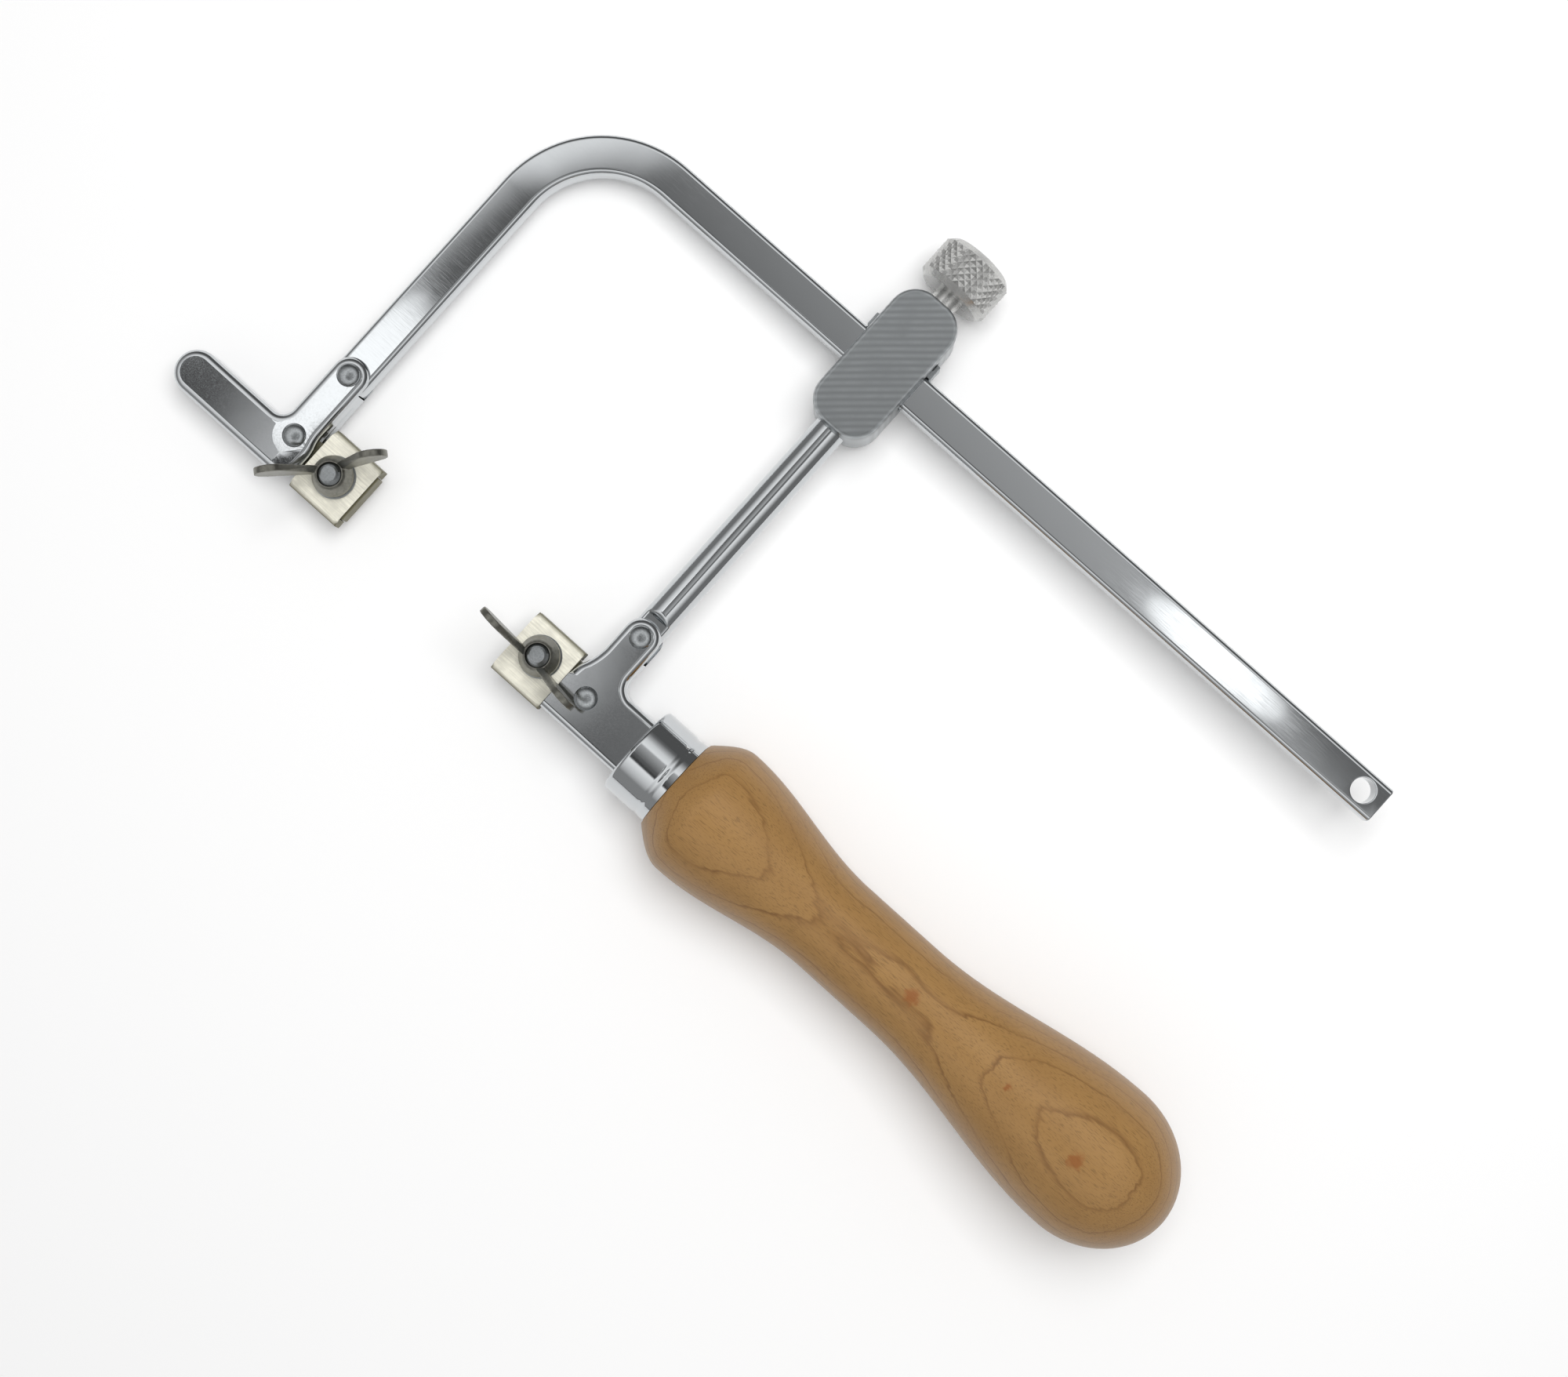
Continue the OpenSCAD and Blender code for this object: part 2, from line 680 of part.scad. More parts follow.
module upper_wing_nut() {
    wing_nut(pad_x_upper, 0, upper_wing_angle);
}

module lower_wing_nut() {
    wing_nut(pad_x_lower, lower_stud_rise, lower_wing_angle);
}

// Shoe between the screw and the bar, with ends turned up outside the block
module pressure_shoe() {
    length = block_w + 2 * (slide_gap + shoe_lip);
    color("#8f9396") translate([post_x - length / 2, shoe_y, -bar_t / 2]) {
        cube([length, shoe_t, bar_t]);
        for (x = [0, length - shoe_lip])
            translate([x, 0, 0]) cube([shoe_lip, shoe_t + shoe_lip_rise, bar_t]);
    }
}

// Thumb screw with a chamfered head that is dished at its end
module thumb_screw() {
    r = knob_d / 2;
    color("#9a9a98") translate([post_x, 0, 0]) rotate([-90, 0, 0]) rotate_extrude() polygon([
        [0, screw_tip_y], [screw_d / 2, screw_tip_y], [screw_d / 2, knob_y],
        [r - knob_chamfer, knob_y], [r, knob_y + knob_chamfer],
        [r, knob_y + knob_len - knob_chamfer], [r - knob_chamfer, knob_y + knob_len],
        [knob_dish_d / 2, knob_y + knob_len], [0, knob_y + knob_len - knob_dish]]);
}

handle();
ferrule();
bracket_front_shell();
bracket_back_shell();
rod_rivet();
lower_clamp_rivet();
post_rod();
slider_block();
lower_jaw_bar();
lower_stud();
bow_bar();
lever_front_shell();
lever_back_shell();
lever_pivot_rivet();
upper_clamp_rivet();
upper_jaw_bar();
upper_stud();
upper_jaw_plate();
upper_washer();
upper_wing_nut();
lower_jaw_plate();
lower_washer();
lower_wing_nut();
pressure_shoe();
thumb_screw();
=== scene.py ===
"""Adjustable fret saw frame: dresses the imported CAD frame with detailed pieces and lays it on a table."""

import json
import math

import bmesh
import bpy
from mathutils import Matrix, Vector


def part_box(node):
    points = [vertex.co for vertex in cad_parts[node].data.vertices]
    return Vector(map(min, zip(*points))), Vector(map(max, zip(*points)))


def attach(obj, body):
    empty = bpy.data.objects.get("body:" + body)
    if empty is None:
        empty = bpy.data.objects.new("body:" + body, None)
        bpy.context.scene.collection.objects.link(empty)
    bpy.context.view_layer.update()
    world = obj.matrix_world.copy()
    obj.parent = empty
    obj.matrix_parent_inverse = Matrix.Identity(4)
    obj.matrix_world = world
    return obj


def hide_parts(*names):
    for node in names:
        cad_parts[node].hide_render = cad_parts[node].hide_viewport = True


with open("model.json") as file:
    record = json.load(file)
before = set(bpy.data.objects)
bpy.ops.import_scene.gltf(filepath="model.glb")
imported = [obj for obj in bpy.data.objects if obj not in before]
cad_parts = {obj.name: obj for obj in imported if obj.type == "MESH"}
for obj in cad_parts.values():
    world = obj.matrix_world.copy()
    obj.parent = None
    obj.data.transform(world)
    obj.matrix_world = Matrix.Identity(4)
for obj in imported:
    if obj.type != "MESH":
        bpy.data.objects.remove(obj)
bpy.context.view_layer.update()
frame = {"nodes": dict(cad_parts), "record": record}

bl_info = {
    "name": "Fret Saw Frame",
    "version": (1, 0, 0),
    "blender": (4, 5, 0),
    "location": "3D View > Sidebar > Fret Saw",
    "description": "Builds the pieces of an adjustable fret saw frame and the table that it lies on",
    "category": "Add Mesh",
}

MM = 0.001
TURN = 2 * math.pi

# Vertices closer than MERGE are one vertex, and places closer than NEAR are one place
MERGE = 0.001 * MM
NEAR = 0.01 * MM
# What a fully round end leaves straight, so that its two corners don't meet
ROUND_GAP = 0.02 * MM
# Gaps round a stud in its plate and washer and in its nut, and in front of what lies in a clevis
STUD_GAP = 0.2 * MM
NUT_GAP = 0.1 * MM
CLEVIS_GAP = 0.3 * MM
# Steps round a corner of an outline
CORNER_STEPS = 10

# Boxes of the CAD nodes and the axes of the joints that the pieces are set out from
BOX = {node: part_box(node) for node in frame["nodes"]}
JOINTS = {joint["name"]: joint for joint in frame["record"]["behaviour"]["joints"]}
PIVOT = Vector(JOINTS["lever_swing"]["pos_m"])
SCREW = Vector(JOINTS["thumb_screw_turn"]["pos_m"])
STUDS = {side: Vector(JOINTS[f"{side}_nut_turn"]["pos_m"]) for side in ("upper", "lower")}

# Sizes that several pieces share, taken from the frame
BAR_T = BOX["bow_bar"][1].z - BOX["bow_bar"][0].z
BAR_W = 2 * (PIVOT.x - BOX["bow_bar"][0].x)
SHELL_TOP = BOX["lever_front_shell"][1].z
LINK_R = BOX["lever_front_shell"][1].y - PIVOT.y
# The post and the thumb screw stand on one line
POST_AXIS = Vector((SCREW.x, 0, 0))


def linear(hex_colour):
    """Linear colour, with full alpha, of an sRGB hex value."""
    shares = [int(hex_colour[place:place + 2], 16) / 255 for place in (1, 3, 5)]
    return [s / 12.92 if s <= 0.04045 else ((s + 0.055) / 1.055) ** 2.4 for s in shares] + [1.0]


def length(name, description, millimetres):
    """A size that a user would change, written here in millimetres."""
    return bpy.props.FloatProperty(name=name, description=description, default=millimetres * MM,
                                   min=0.0, precision=5, unit="LENGTH")


def share(name, description, value):
    """A share of another size, from 0 to 1."""
    return bpy.props.FloatProperty(name=name, description=description, default=value,
                                   min=0.0, max=1.0, subtype="FACTOR")


def degrees(name, description, value):
    """An angle that a user would change, written here in degrees."""
    return bpy.props.FloatProperty(name=name, description=description, default=math.radians(value),
                                   unit="ROTATION")


def colour(name, description, hex_colour):
    """A surface colour, written here as an sRGB hex value."""
    return bpy.props.FloatVectorProperty(name=name, description=description, size=4, min=0.0, max=1.0,
                                         subtype="COLOR", default=linear(hex_colour))


class FretSawSizes(bpy.types.PropertyGroup):
    """Sizes of the pieces that the frame's boxes don't give"""

    shoulder_d: length("Shoulder", "Diameter of the handle where the ferrule ends", 18.8)
    swell_d: length("Swell", "Largest diameter at the front of the handle", 25.9)
    waist_d: length("Waist", "Least diameter of the handle", 17.9)
    swell_share: share("Swell place", "Place of the swell along the handle", 0.064)
    waist_from_share: share("Waist start", "Place where the waist begins along the handle", 0.33)
    waist_to_share: share("Waist end", "Place where the waist ends along the handle", 0.47)
    bulb_share: share("Bulb place", "Place of the bulb along the handle", 0.855)
    ferrule_wall: length("Ferrule wall", "Thickness of the ferrule's tube", 0.8)
    ferrule_edge: length("Ferrule edge", "Radius of the ferrule's front edge", 0.7)
    ferrule_crimp: length("Ferrule crimp", "Depth of the groove that grips the wood", 0.18)
    bend_r: length("Bow bend", "Radius of the bow's bend at the middle of the bar", 19.0)
    bend_dish: degrees("Bend dish", "Slope that bending leaves across the bar's flat", 1.0)
    bar_edge: length("Bar edge", "Radius of the bar's long edges", 1.0)
    hang_hole_d: length("Hanging hole", "Diameter of the hole in the bar's free end", 4.4)
    hang_hole_inset: length("Hole inset", "Distance of the hole's centre from the bar's end", 4.1)
    sheet_t: length("Sheet", "Thickness of the pressed shells", 1.4)
    rim_r: length("Rolled rim", "Radius of the shells' rolled edges", 1.35)
    seam: length("Seam", "Width of the groove where two shells meet", 0.25)
    lever_drop: length("Lever drop", "Distance of the lever's centre line below the blade line", 2.45)
    lever_fillet: length("Lever fillet", "Radius of the lever's inner corner", 2.5)
    bracket_fillet: length("Bracket fillet", "Radius of the bracket's inner corner", 2.8)
    dish_depth: length("Dish depth", "Depth of the lever's dished face beside the link", 1.1)
    dish_slope: degrees("Dish slope", "Slope of the lever's dished face along the arm", 3.2)
    dish_step_r: length("Dish step", "Radius of the link's round end over the dish", 3.8)
    clamp_rivet_rise: length("Clamp rivets", "Height of the clamp rivets over the blade line", 0.8)
    rivet_head_d: length("Rivet head", "Diameter of the rivet heads", 4.2)
    post_flat: length("Post flat", "Height of the post's flat foot over its rivet", 4.2)
    block_corner: length("Block corner", "Radius of the slider block's corners", 5.0)
    block_chamfer: length("Block chamfer", "Chamfer round the slider block's faces", 0.8)
    slot_clearance: length("Slot clearance", "Play of the bar in the block's slot", 0.1)
    screw_d: length("Screw", "Diameter of the thumb screw's thread", 5.0)
    screw_pitch: length("Screw pitch", "Pitch of the thumb screw's thread", 0.8)
    knob_len: length("Knob", "Length of the thumb screw's head", 8.3)
    knob_chamfer: length("Knob chamfer", "Chamfer at both ends of the head", 1.1)
    knob_dish_d: length("Knob dish", "Diameter of the dish in the head", 8.0)
    knurl_depth: length("Knurl depth", "Depth of the knurl's grooves", 0.24)
    knurl_pitch: length("Knurl pitch", "Distance from groove to groove, square to them", 1.1)
    jaw_sheet: length("Jaw sheet", "Thickness of the bent jaw plates", 1.5)
    pad_t: length("Jaw pad", "Thickness of the fixed jaws", 3.4)
    stud_d: length("Stud", "Diameter of the clamp studs", 4.0)
    stud_pitch: length("Stud pitch", "Pitch of the clamp studs' thread", 0.7)
    stud_head_h: length("Stud head", "Height of the studs' flat heads", 0.8)
    nut_h: length("Nut height", "Height of the wing nuts' bodies", 3.4)
    nut_foot_d: length("Nut foot", "Diameter of the wing nuts' bodies at the foot", 7.2)
    nut_top_d: length("Nut top", "Diameter of the wing nuts' bodies at the top", 5.4)
    wing_t: length("Wing", "Thickness of the wings", 1.2)
    wing_offset: length("Wing offset", "Distance of the wings' plate from the nut's axis", 1.2)
    wing_tip_r: length("Wing tip", "Radius of the wings' tips", 2.7)
    wing_span: length("Wing span", "Span over both wings", 22.8)
    upper_wing: degrees("Upper wings", "Direction of the upper wing nut's wings", 50.0)
    lower_wing: degrees("Lower wings", "Direction of the lower wing nut's wings", 174.0)
    shoe_t: length("Shoe", "Thickness of the pressure shoe", 1.5)
    shoe_lip: length("Shoe lip", "Thickness of the shoe's turned-up ends", 0.7)


class FretSawColours(bpy.types.PropertyGroup):
    """Colours of the finishes"""

    beech: colour("Beech", "Varnished beech between its rings", "#9f7946")
    beech_ring: colour("Beech rings", "Late wood of the yearly rings", "#78532a")
    beech_fleck: colour("Beech flecks", "Short dark pores and rays", "#775830")
    beech_pin: colour("Pin knots", "Small orange-brown pin knots", "#8a5020")
    chrome: colour("Chrome", "Chrome plate", "#c6c9cb")
    steel: colour("Steel", "Plain and milled steel", "#b4b8ba")
    knurled: colour("Knurled steel", "Matt steel of the thumb screw", "#cdcdcb")
    nickel: colour("Nickel", "Nickel plate of the jaws", "#fbf8e8")
    # Painted shade: a dark olive that stands in for the dark reflections on the jaw plates' turned-down
    # sides
    nickel_side_painted_shade: colour("Painted shade", "Shade-painted nickel of the jaws' bent sides", "#77735c")
    wing: colour("Wing nuts", "Dull nickel of the wing nuts", "#8c8b83")
    table: colour("Table", "Pale table top", "#f4f4f4")


class FretSawStage(bpy.types.PropertyGroup):
    """Camera and light of the studio"""

    camera_height: length("Camera height", "Distance of the camera from the frame's middle plane", 350.0)
    lens: bpy.props.FloatProperty(name="Lens", description="Focal length on a 36 mm sensor",
                                  default=46.65, unit="CAMERA")
    turn: bpy.props.FloatProperty(name="Camera turn", description="Turn of the picture about the view",
                                  default=0.7302, unit="ROTATION")
    aim: bpy.props.FloatVectorProperty(name="Aim", description="Point under the camera",
                                       default=(2.75 * MM, 24.68 * MM, 0.0), unit="LENGTH", precision=5)
    tilt: bpy.props.FloatVectorProperty(name="Tilt", description="Direction from the frame to the camera",
                                        default=(0.0441, -0.0124, 1.0), subtype="DIRECTION")
    table_slope: bpy.props.FloatVectorProperty(name="Table slope", size=2,
                                               description="Slope of the frame over the table, in X and Y",
                                               default=(-0.049, 0.0093))
    dome: share("Dome", "Even light from all round", 0.42)
    key: bpy.props.FloatProperty(name="Key", description="Power of the overhead soft box", default=2.7,
                                 min=0.0, unit="POWER")
    box_side: length("Soft box", "Side of the overhead soft box", 400.0)
    box_place: bpy.props.FloatVectorProperty(name="Soft box place", unit="LENGTH",
                                             description="Right, up and towards the camera from the aim",
                                             default=(90 * MM, 120 * MM, 580 * MM))


# Modelling

VERT, EDGE = bmesh.types.BMVert, bmesh.types.BMEdge
AXES = {
    "X": (Vector((1, 0, 0)), Vector((0, 1, 0))),
    "Y": (Vector((0, 1, 0)), Vector((1, 0, 0))),
    "Z": (Vector((0, 0, 1)), Vector((1, 0, 0))),
}


def near(value, *targets):
    """True where a place is at one of its targets, but for rounding."""
    return any(abs(value - target) < NEAR for target in targets)


def held(value, low, high):
    """A value kept between two limits."""
    return min(max(value, low), high)


def spaced(first, last, steps):
    """Even steps from a first to a last value, with both."""
    return [first + (last - first) * i / steps for i in range(steps + 1)]


def picked(items, kind):
    """The items of one kind out of what a mesh operator returns."""
    return [item for item in items if isinstance(item, kind)]


def outward(bm):
    """Turns all faces to the outside."""
    bmesh.ops.recalc_face_normals(bm, faces=bm.faces)


def finish_piece(bm, name, colours, body, slot, *nodes, smooth_angle=38, flat_faces=True):
    """Closes a mesh, shades it, gives it its material, hangs it on its body and hides the CAD nodes it
    stands for.
    """
    bmesh.ops.remove_doubles(bm, verts=bm.verts, dist=MERGE)
    bmesh.ops.dissolve_degenerate(bm, edges=bm.edges, dist=MERGE)
    outward(bm)
    mesh = bpy.data.meshes.new(name)
    bm.to_mesh(mesh)
    bm.free()
    mesh.shade_smooth()
    mesh.set_sharp_from_angle(angle=math.radians(smooth_angle))
    mesh.materials.append(finish(slot, colours))
    piece = bpy.data.objects.new(name, mesh)
    bpy.context.scene.collection.objects.link(piece)
    if flat_faces:
        piece.modifiers.new("Flat faces stay flat", "WEIGHTED_NORMAL").keep_sharp = True
    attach(piece, body)
    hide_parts(*nodes)
    return piece


def turned(profile, axis, centre, steps):
    """A mesh spun from a profile of (place along, radius) round an axis through a centre."""
    bm = bmesh.new()
    along, across = AXES[axis]
    verts = [bm.verts.new(centre + place * along + radius * across) for place, radius in profile]
    edges = [bm.edges.new(pair) for pair in zip(verts, verts[1:])]
    bmesh.ops.spin(bm, geom=verts + edges, cent=centre, axis=along, angle=TURN, steps=steps,
                   use_merge=True)
    bmesh.ops.remove_doubles(bm, verts=bm.verts, dist=MERGE)
    return bm


def loop_of(bm, verts):
    """Joins vertices in a closed loop of edges."""
    return [bm.edges.new((verts[i - 1], verts[i])) for i in range(len(verts))]


def threaded(bm, axis, centre, start, reach, root_r, crest_r, pitch):
    """Winds a thread's ridge round a core, as one closed helix."""
    steps = 28
    buried_share, crest_share, foot_share = 0.1, 0.48, 0.96
    along, across = AXES[axis]
    buried_r = root_r - buried_share * (crest_r - root_r)
    section = [(0.0, buried_r), (crest_share * pitch, crest_r), (foot_share * pitch, buried_r)]
    verts = [bm.verts.new(centre + (start + place) * along + radius * across) for place, radius in section]
    count = round((reach / pitch - 1) * steps)
    bmesh.ops.spin(bm, geom=verts + loop_of(bm, verts), cent=centre, axis=along,
                   dvec=along * (pitch / steps), angle=TURN * count / steps, steps=count)
    bmesh.ops.holes_fill(bm, edges=[edge for edge in bm.edges if edge.is_boundary], sides=len(section))


def rounded(bm, geom, width, segments=2, affect="EDGES"):
    """Rounds edges, or the corners of a flat face, to a width."""
    bmesh.ops.bevel(bm, geom=geom, offset=width, offset_type="OFFSET", affect=affect,
                    segments=segments, profile=0.5, material=-1)


def raised(bm, faces, height):
    """Extrudes faces upwards into a solid."""
    extruded = bmesh.ops.extrude_face_region(bm, geom=faces, use_keep_orig=True)["geom"]
    bmesh.ops.translate(bm, verts=picked(extruded, VERT), vec=(0, 0, height))


def slab(corners, low_z, high_z):
    """A solid between two heights, whose outline has corners (x, y, radius)."""
    bm = bmesh.new()
    verts = [bm.verts.new((x, y, low_z)) for x, y, radius in corners]
    bm.faces.new(verts)
    for vert, (x, y, radius) in zip(verts, corners):
        if radius > 0:
            rounded(bm, [vert], radius, CORNER_STEPS, "VERTICES")
    raised(bm, bm.faces[:], high_z - low_z)
    outward(bm)
    return bm


def drawn(bm, edges, vector):
    """Extrudes edges along a vector and returns the new edges."""
    extruded = bmesh.ops.extrude_edge_only(bm, edges=edges)["geom"]
    bmesh.ops.translate(bm, verts=picked(extruded, VERT), vec=vector)
    return picked(extruded, EDGE)


def cut(bm, place, axis):
    """Cuts all faces along a plane square to an axis, and keeps both sides."""
    bmesh.ops.bisect_plane(bm, geom=bm.verts[:] + bm.edges[:] + bm.faces[:], dist=MERGE,
                           plane_co=place * AXES[axis][0], plane_no=AXES[axis][0])


def opened(bm, face):
    """Takes a face out and returns the edges round the opening."""
    edges = face.edges[:]
    bmesh.ops.delete(bm, geom=[face], context="FACES_ONLY")
    return edges


def round_rim(bm, centre, radius, segments):
    """A loose ring of edges, square to Z."""
    circle = bmesh.ops.create_circle(bm, segments=segments, radius=radius,
                                     matrix=Matrix.Translation(centre))["verts"]
    return list(dict.fromkeys(edge for vert in circle for edge in vert.link_edges))


def filled(bm, edges):
    """Fills the flat between an outer and an inner loop of edges."""
    bmesh.ops.triangle_fill(bm, use_beauty=True, use_dissolve=False, edges=edges, normal=(0, 0, 1))


def corners_of(bm, accept, least_angle=40):
    """The edges that bend sharply and whose middle is accepted."""
    bent = [edge for edge in bm.edges if edge.is_manifold
            and edge.calc_face_angle() > math.radians(least_angle)]
    return [edge for edge in bent if accept((edge.verts[0].co + edge.verts[1].co) / 2)]


def box_between(bm, low, high):
    """A box from its lowest to its highest corner."""
    low, high = Vector(low), Vector(high)
    place = Matrix.Translation((low + high) / 2) @ Matrix.Diagonal((*(high - low), 1.0))
    return bmesh.ops.create_cube(bm, size=1.0, matrix=place)["verts"]


# Materials

EVEN = (1, 1, 1)
LENGTHWAYS = (0.06, 1, 1)
SMOOTH = "SMOOTHSTEP"


def start_material(name):
    """A new node material with its shader and the piece's own coordinates."""
    material = bpy.data.materials.new(name)
    material.use_nodes = True
    tree = material.node_tree
    place = add(tree, "ShaderNodeTexCoord").outputs["Object"]
    return material, tree, tree.nodes["Principled BSDF"], place


def fill(tree, node, inputs):
    """Sets or links a node's inputs by name or number."""
    for name, value in inputs.items():
        if isinstance(value, bpy.types.NodeSocket):
            tree.links.new(value, node.inputs[name])
        else:
            node.inputs[name].default_value = value


def add(tree, kind, inputs=None, **options):
    """Adds a node, sets its properties and fills its inputs."""
    node = tree.nodes.new(kind)
    for name, value in options.items():
        setattr(node, name, value)
    fill(tree, node, inputs or {})
    return node


def reckoned(tree, operation, *values, **options):
    """A number worked out from others."""
    return add(tree, "ShaderNodeMath", dict(enumerate(values)), operation=operation, **options).outputs[0]


def measured(tree, operation, *vectors):
    """A number that vectors give: a length, a distance or a reach along a direction."""
    inputs = dict(enumerate(vectors))
    return add(tree, "ShaderNodeVectorMath", inputs, operation=operation).outputs["Value"]


def ranged(tree, value, low, high, to_low=0.0, to_high=1.0, ease="LINEAR"):
    """A number carried from one range to another and kept inside it."""
    inputs = {"Value": value, "From Min": low, "From Max": high, "To Min": to_low, "To Max": to_high}
    return add(tree, "ShaderNodeMapRange", inputs, interpolation_type=ease).outputs[0]


def blended(tree, amount, first, second):
    """A number between two others."""
    return add(tree, "ShaderNodeMix", {0: amount, 2: first, 3: second}).outputs[0]


def tinted(tree, amount, first, second):
    """A colour between two others."""
    return add(tree, "ShaderNodeMix", {0: amount, 6: first, 7: second}, data_type="RGBA").outputs[2]


def shaded(tree, base_colour, amount):
    """A colour made darker or lighter."""
    inputs = {0: base_colour[:3], "Scale": amount}
    return add(tree, "ShaderNodeVectorMath", inputs, operation="SCALE").outputs[0]


def lying(tree, place, scale, location=(0, 0, 0), rotation=(0, 0, 0)):
    """Coordinates stretched, moved and turned to the way that a pattern lies."""
    inputs = {"Vector": place, "Location": location, "Rotation": rotation, "Scale": scale}
    return add(tree, "ShaderNodeMapping", inputs).outputs[0]


def clouds(tree, place, width, detail, output=0):
    """Noise with clouds of a width, as a number or, from output 1, as a colour."""
    inputs = {"Vector": place, "Scale": 1 / width, "Detail": detail}
    return add(tree, "ShaderNodeTexNoise", inputs).outputs[output]


def bumped(tree, height, distance, strength=1.0):
    """A normal that follows a pattern's height."""
    inputs = {"Height": height, "Strength": strength, "Distance": distance}
    return add(tree, "ShaderNodeBump", inputs).outputs[0]


def varnished_beech(name, colours):
    """Turned beech under satin varnish: thin yearly rings round a pith far below the handle, which the
    turned swell and bulb cut into long loops, with short pores along the grain and a few pin knots."""
    material, tree, shader, place = start_material(name)
    ring_width, pith_depth = 2.2 * MM, 33.75 * MM
    bend_length, bend_depth = 8 * MM, 2.2 * MM
    feather_width, feather_depth = 0.9 * MM, 0.45 * MM
    cloud_width = 5 * MM
    pore_width, pore_length, pore_depth = 0.16 * MM, 1.6 * MM, 0.02 * MM
    fray_width, fray_depth = 1.1 * MM, 2.4 * MM
    # Pin knots: place on the piece and radius, in millimetres
    pins = (((53.3, 0.6, 8.9), 1.9), ((90.4, -1.2, 14.0), 2.0), ((74.9, 0.3, 11.6), 0.9))

    # Slow bends of the rings along the grain, and feathered edges where they run out
    sway = lying(tree, place, (0.35, 1.0, 1.0))
    quill = lying(tree, place, (0.12, 1.0, 1.0))
    shift = reckoned(tree, "MULTIPLY", clouds(tree, sway, bend_length, 3.0), bend_depth)
    shift = reckoned(tree, "MULTIPLY_ADD", clouds(tree, quill, feather_width, 2.0), feather_depth, shift)
    pith = lying(tree, place, (0, 1, 1), (0, 0, pith_depth))
    age = reckoned(tree, "ADD", measured(tree, "LENGTH", pith), shift)
    season = reckoned(tree, "FRACT", reckoned(tree, "DIVIDE", age, ring_width))
    # Late wood darkens towards the end of each year and stops there
    late = reckoned(tree, "POWER", ranged(tree, season, 0.80, 0.95), 2.0)
    ring = reckoned(tree, "MULTIPLY", late, ranged(tree, season, 0.95, 1.0, 1.0, 0.0))
    # Rings fade in and out, and broad clouds darken the wood
    cloud = clouds(tree, sway, cloud_width, 4.0)
    ring = reckoned(tree, "MULTIPLY", ring, ranged(tree, cloud, 0.35, 0.65, 0.25, 1.0))
    tone = reckoned(tree, "ADD", ring, ranged(tree, cloud, 0.3, 0.7, 0.22, 0.0), use_clamp=True)
    base = tinted(tree, tone, colours.beech, colours.beech_ring)
    # Short pores, long along the handle
    fibre = lying(tree, place, (pore_width / pore_length, 1.0, 1.0))
    pores = clouds(tree, fibre, pore_width, 2.0)
    base = tinted(tree, ranged(tree, pores, 0.50, 0.70, 0.0, 0.7, SMOOTH), base, colours.beech_fleck)
    # Pin knots with a ragged edge
    ragged = clouds(tree, place, fray_width, 3.0, 1)
    fray = add(tree, "ShaderNodeVectorMath", {0: ragged, 1: (0.5, 0.5, 0.5)}, operation="SUBTRACT")
    frayed = add(tree, "ShaderNodeVectorMath",
                 {0: fray.outputs[0], 1: (fray_depth, fray_depth, fray_depth), 2: place},
                 operation="MULTIPLY_ADD")
    for spot, radius in pins:
        away = measured(tree, "DISTANCE", frayed.outputs[0], Vector(spot) * MM)
        pin = ranged(tree, away, 0.35 * radius * MM, radius * MM, 0.8, 0.0, SMOOTH)
        base = tinted(tree, pin, base, colours.beech_pin)
    fill(tree, shader, {"Base Color": base, "Roughness": 0.42, "Coat Weight": 0.10, "Coat Roughness": 0.28,
                        "Normal": bumped(tree, pores, pore_depth, 0.4)})
    return material


def chrome_plate(name, base_colour, roughness, buffing, wave_height):
    """Chrome over buffed steel: a cool mirror, a little wavy, dulled by hairlines along the buffing."""
    material, tree, shader, place = start_material(name)
    hairline, wave_length = 0.2 * MM, 7 * MM
    dulling = 0.06
    lines = clouds(tree, lying(tree, place, buffing), hairline, 3.0)
    gloss = ranged(tree, lines, 0.4, 0.8, roughness, roughness + dulling)
    waves = clouds(tree, place, wave_length, 1.0)
    fill(tree, shader, {"Base Color": base_colour, "Metallic": 1.0, "Roughness": gloss,
                        "Normal": bumped(tree, waves, wave_height * MM)})
    return material


def worked_steel(name, base_colour, roughness, metal, grain, line_width, line_depth, painted_side_shade=None):
    """Bare or plated steel with the marks of its working: scratches along one direction and dull stains.
    Where a shade colour is given, painted shade darkens whatever lies lower than the jaw plates' tops."""
    material, tree, shader, place = start_material(name)
    stain_width, stain = 2.5 * MM, 0.22
    shade_below_z = BOX["upper_jaw_plate"][1].z
    lines = clouds(tree, lying(tree, place, grain), line_width * MM, 2.0)
    stains = clouds(tree, place, stain_width, 5.0)
    marks = reckoned(tree, "MULTIPLY", lines, stains)
    base = shaded(tree, base_colour, ranged(tree, marks, 0.15, 0.40, 1.0 - stain, 1.0 + 0.3 * stain))
    if painted_side_shade is not None:
        # Painted shade: below the plate tops, on the turned-down sides and the pads, the colour turns dark
        # olive to stand in for the dark reflections there
        height = add(tree, "ShaderNodeSeparateXYZ", {0: place}).outputs[2]
        low = ranged(tree, height, shade_below_z - 0.7 * MM, shade_below_z - 0.1 * MM, 1.0, 0.0)
        base = tinted(tree, low, base, painted_side_shade)
    gloss = ranged(tree, stains, 0.3, 0.7, roughness - 0.06, roughness + 0.08)
    fill(tree, shader, {"Base Color": base, "Metallic": metal, "Roughness": gloss,
                        "Normal": bumped(tree, lines, line_depth * MM)})
    return material


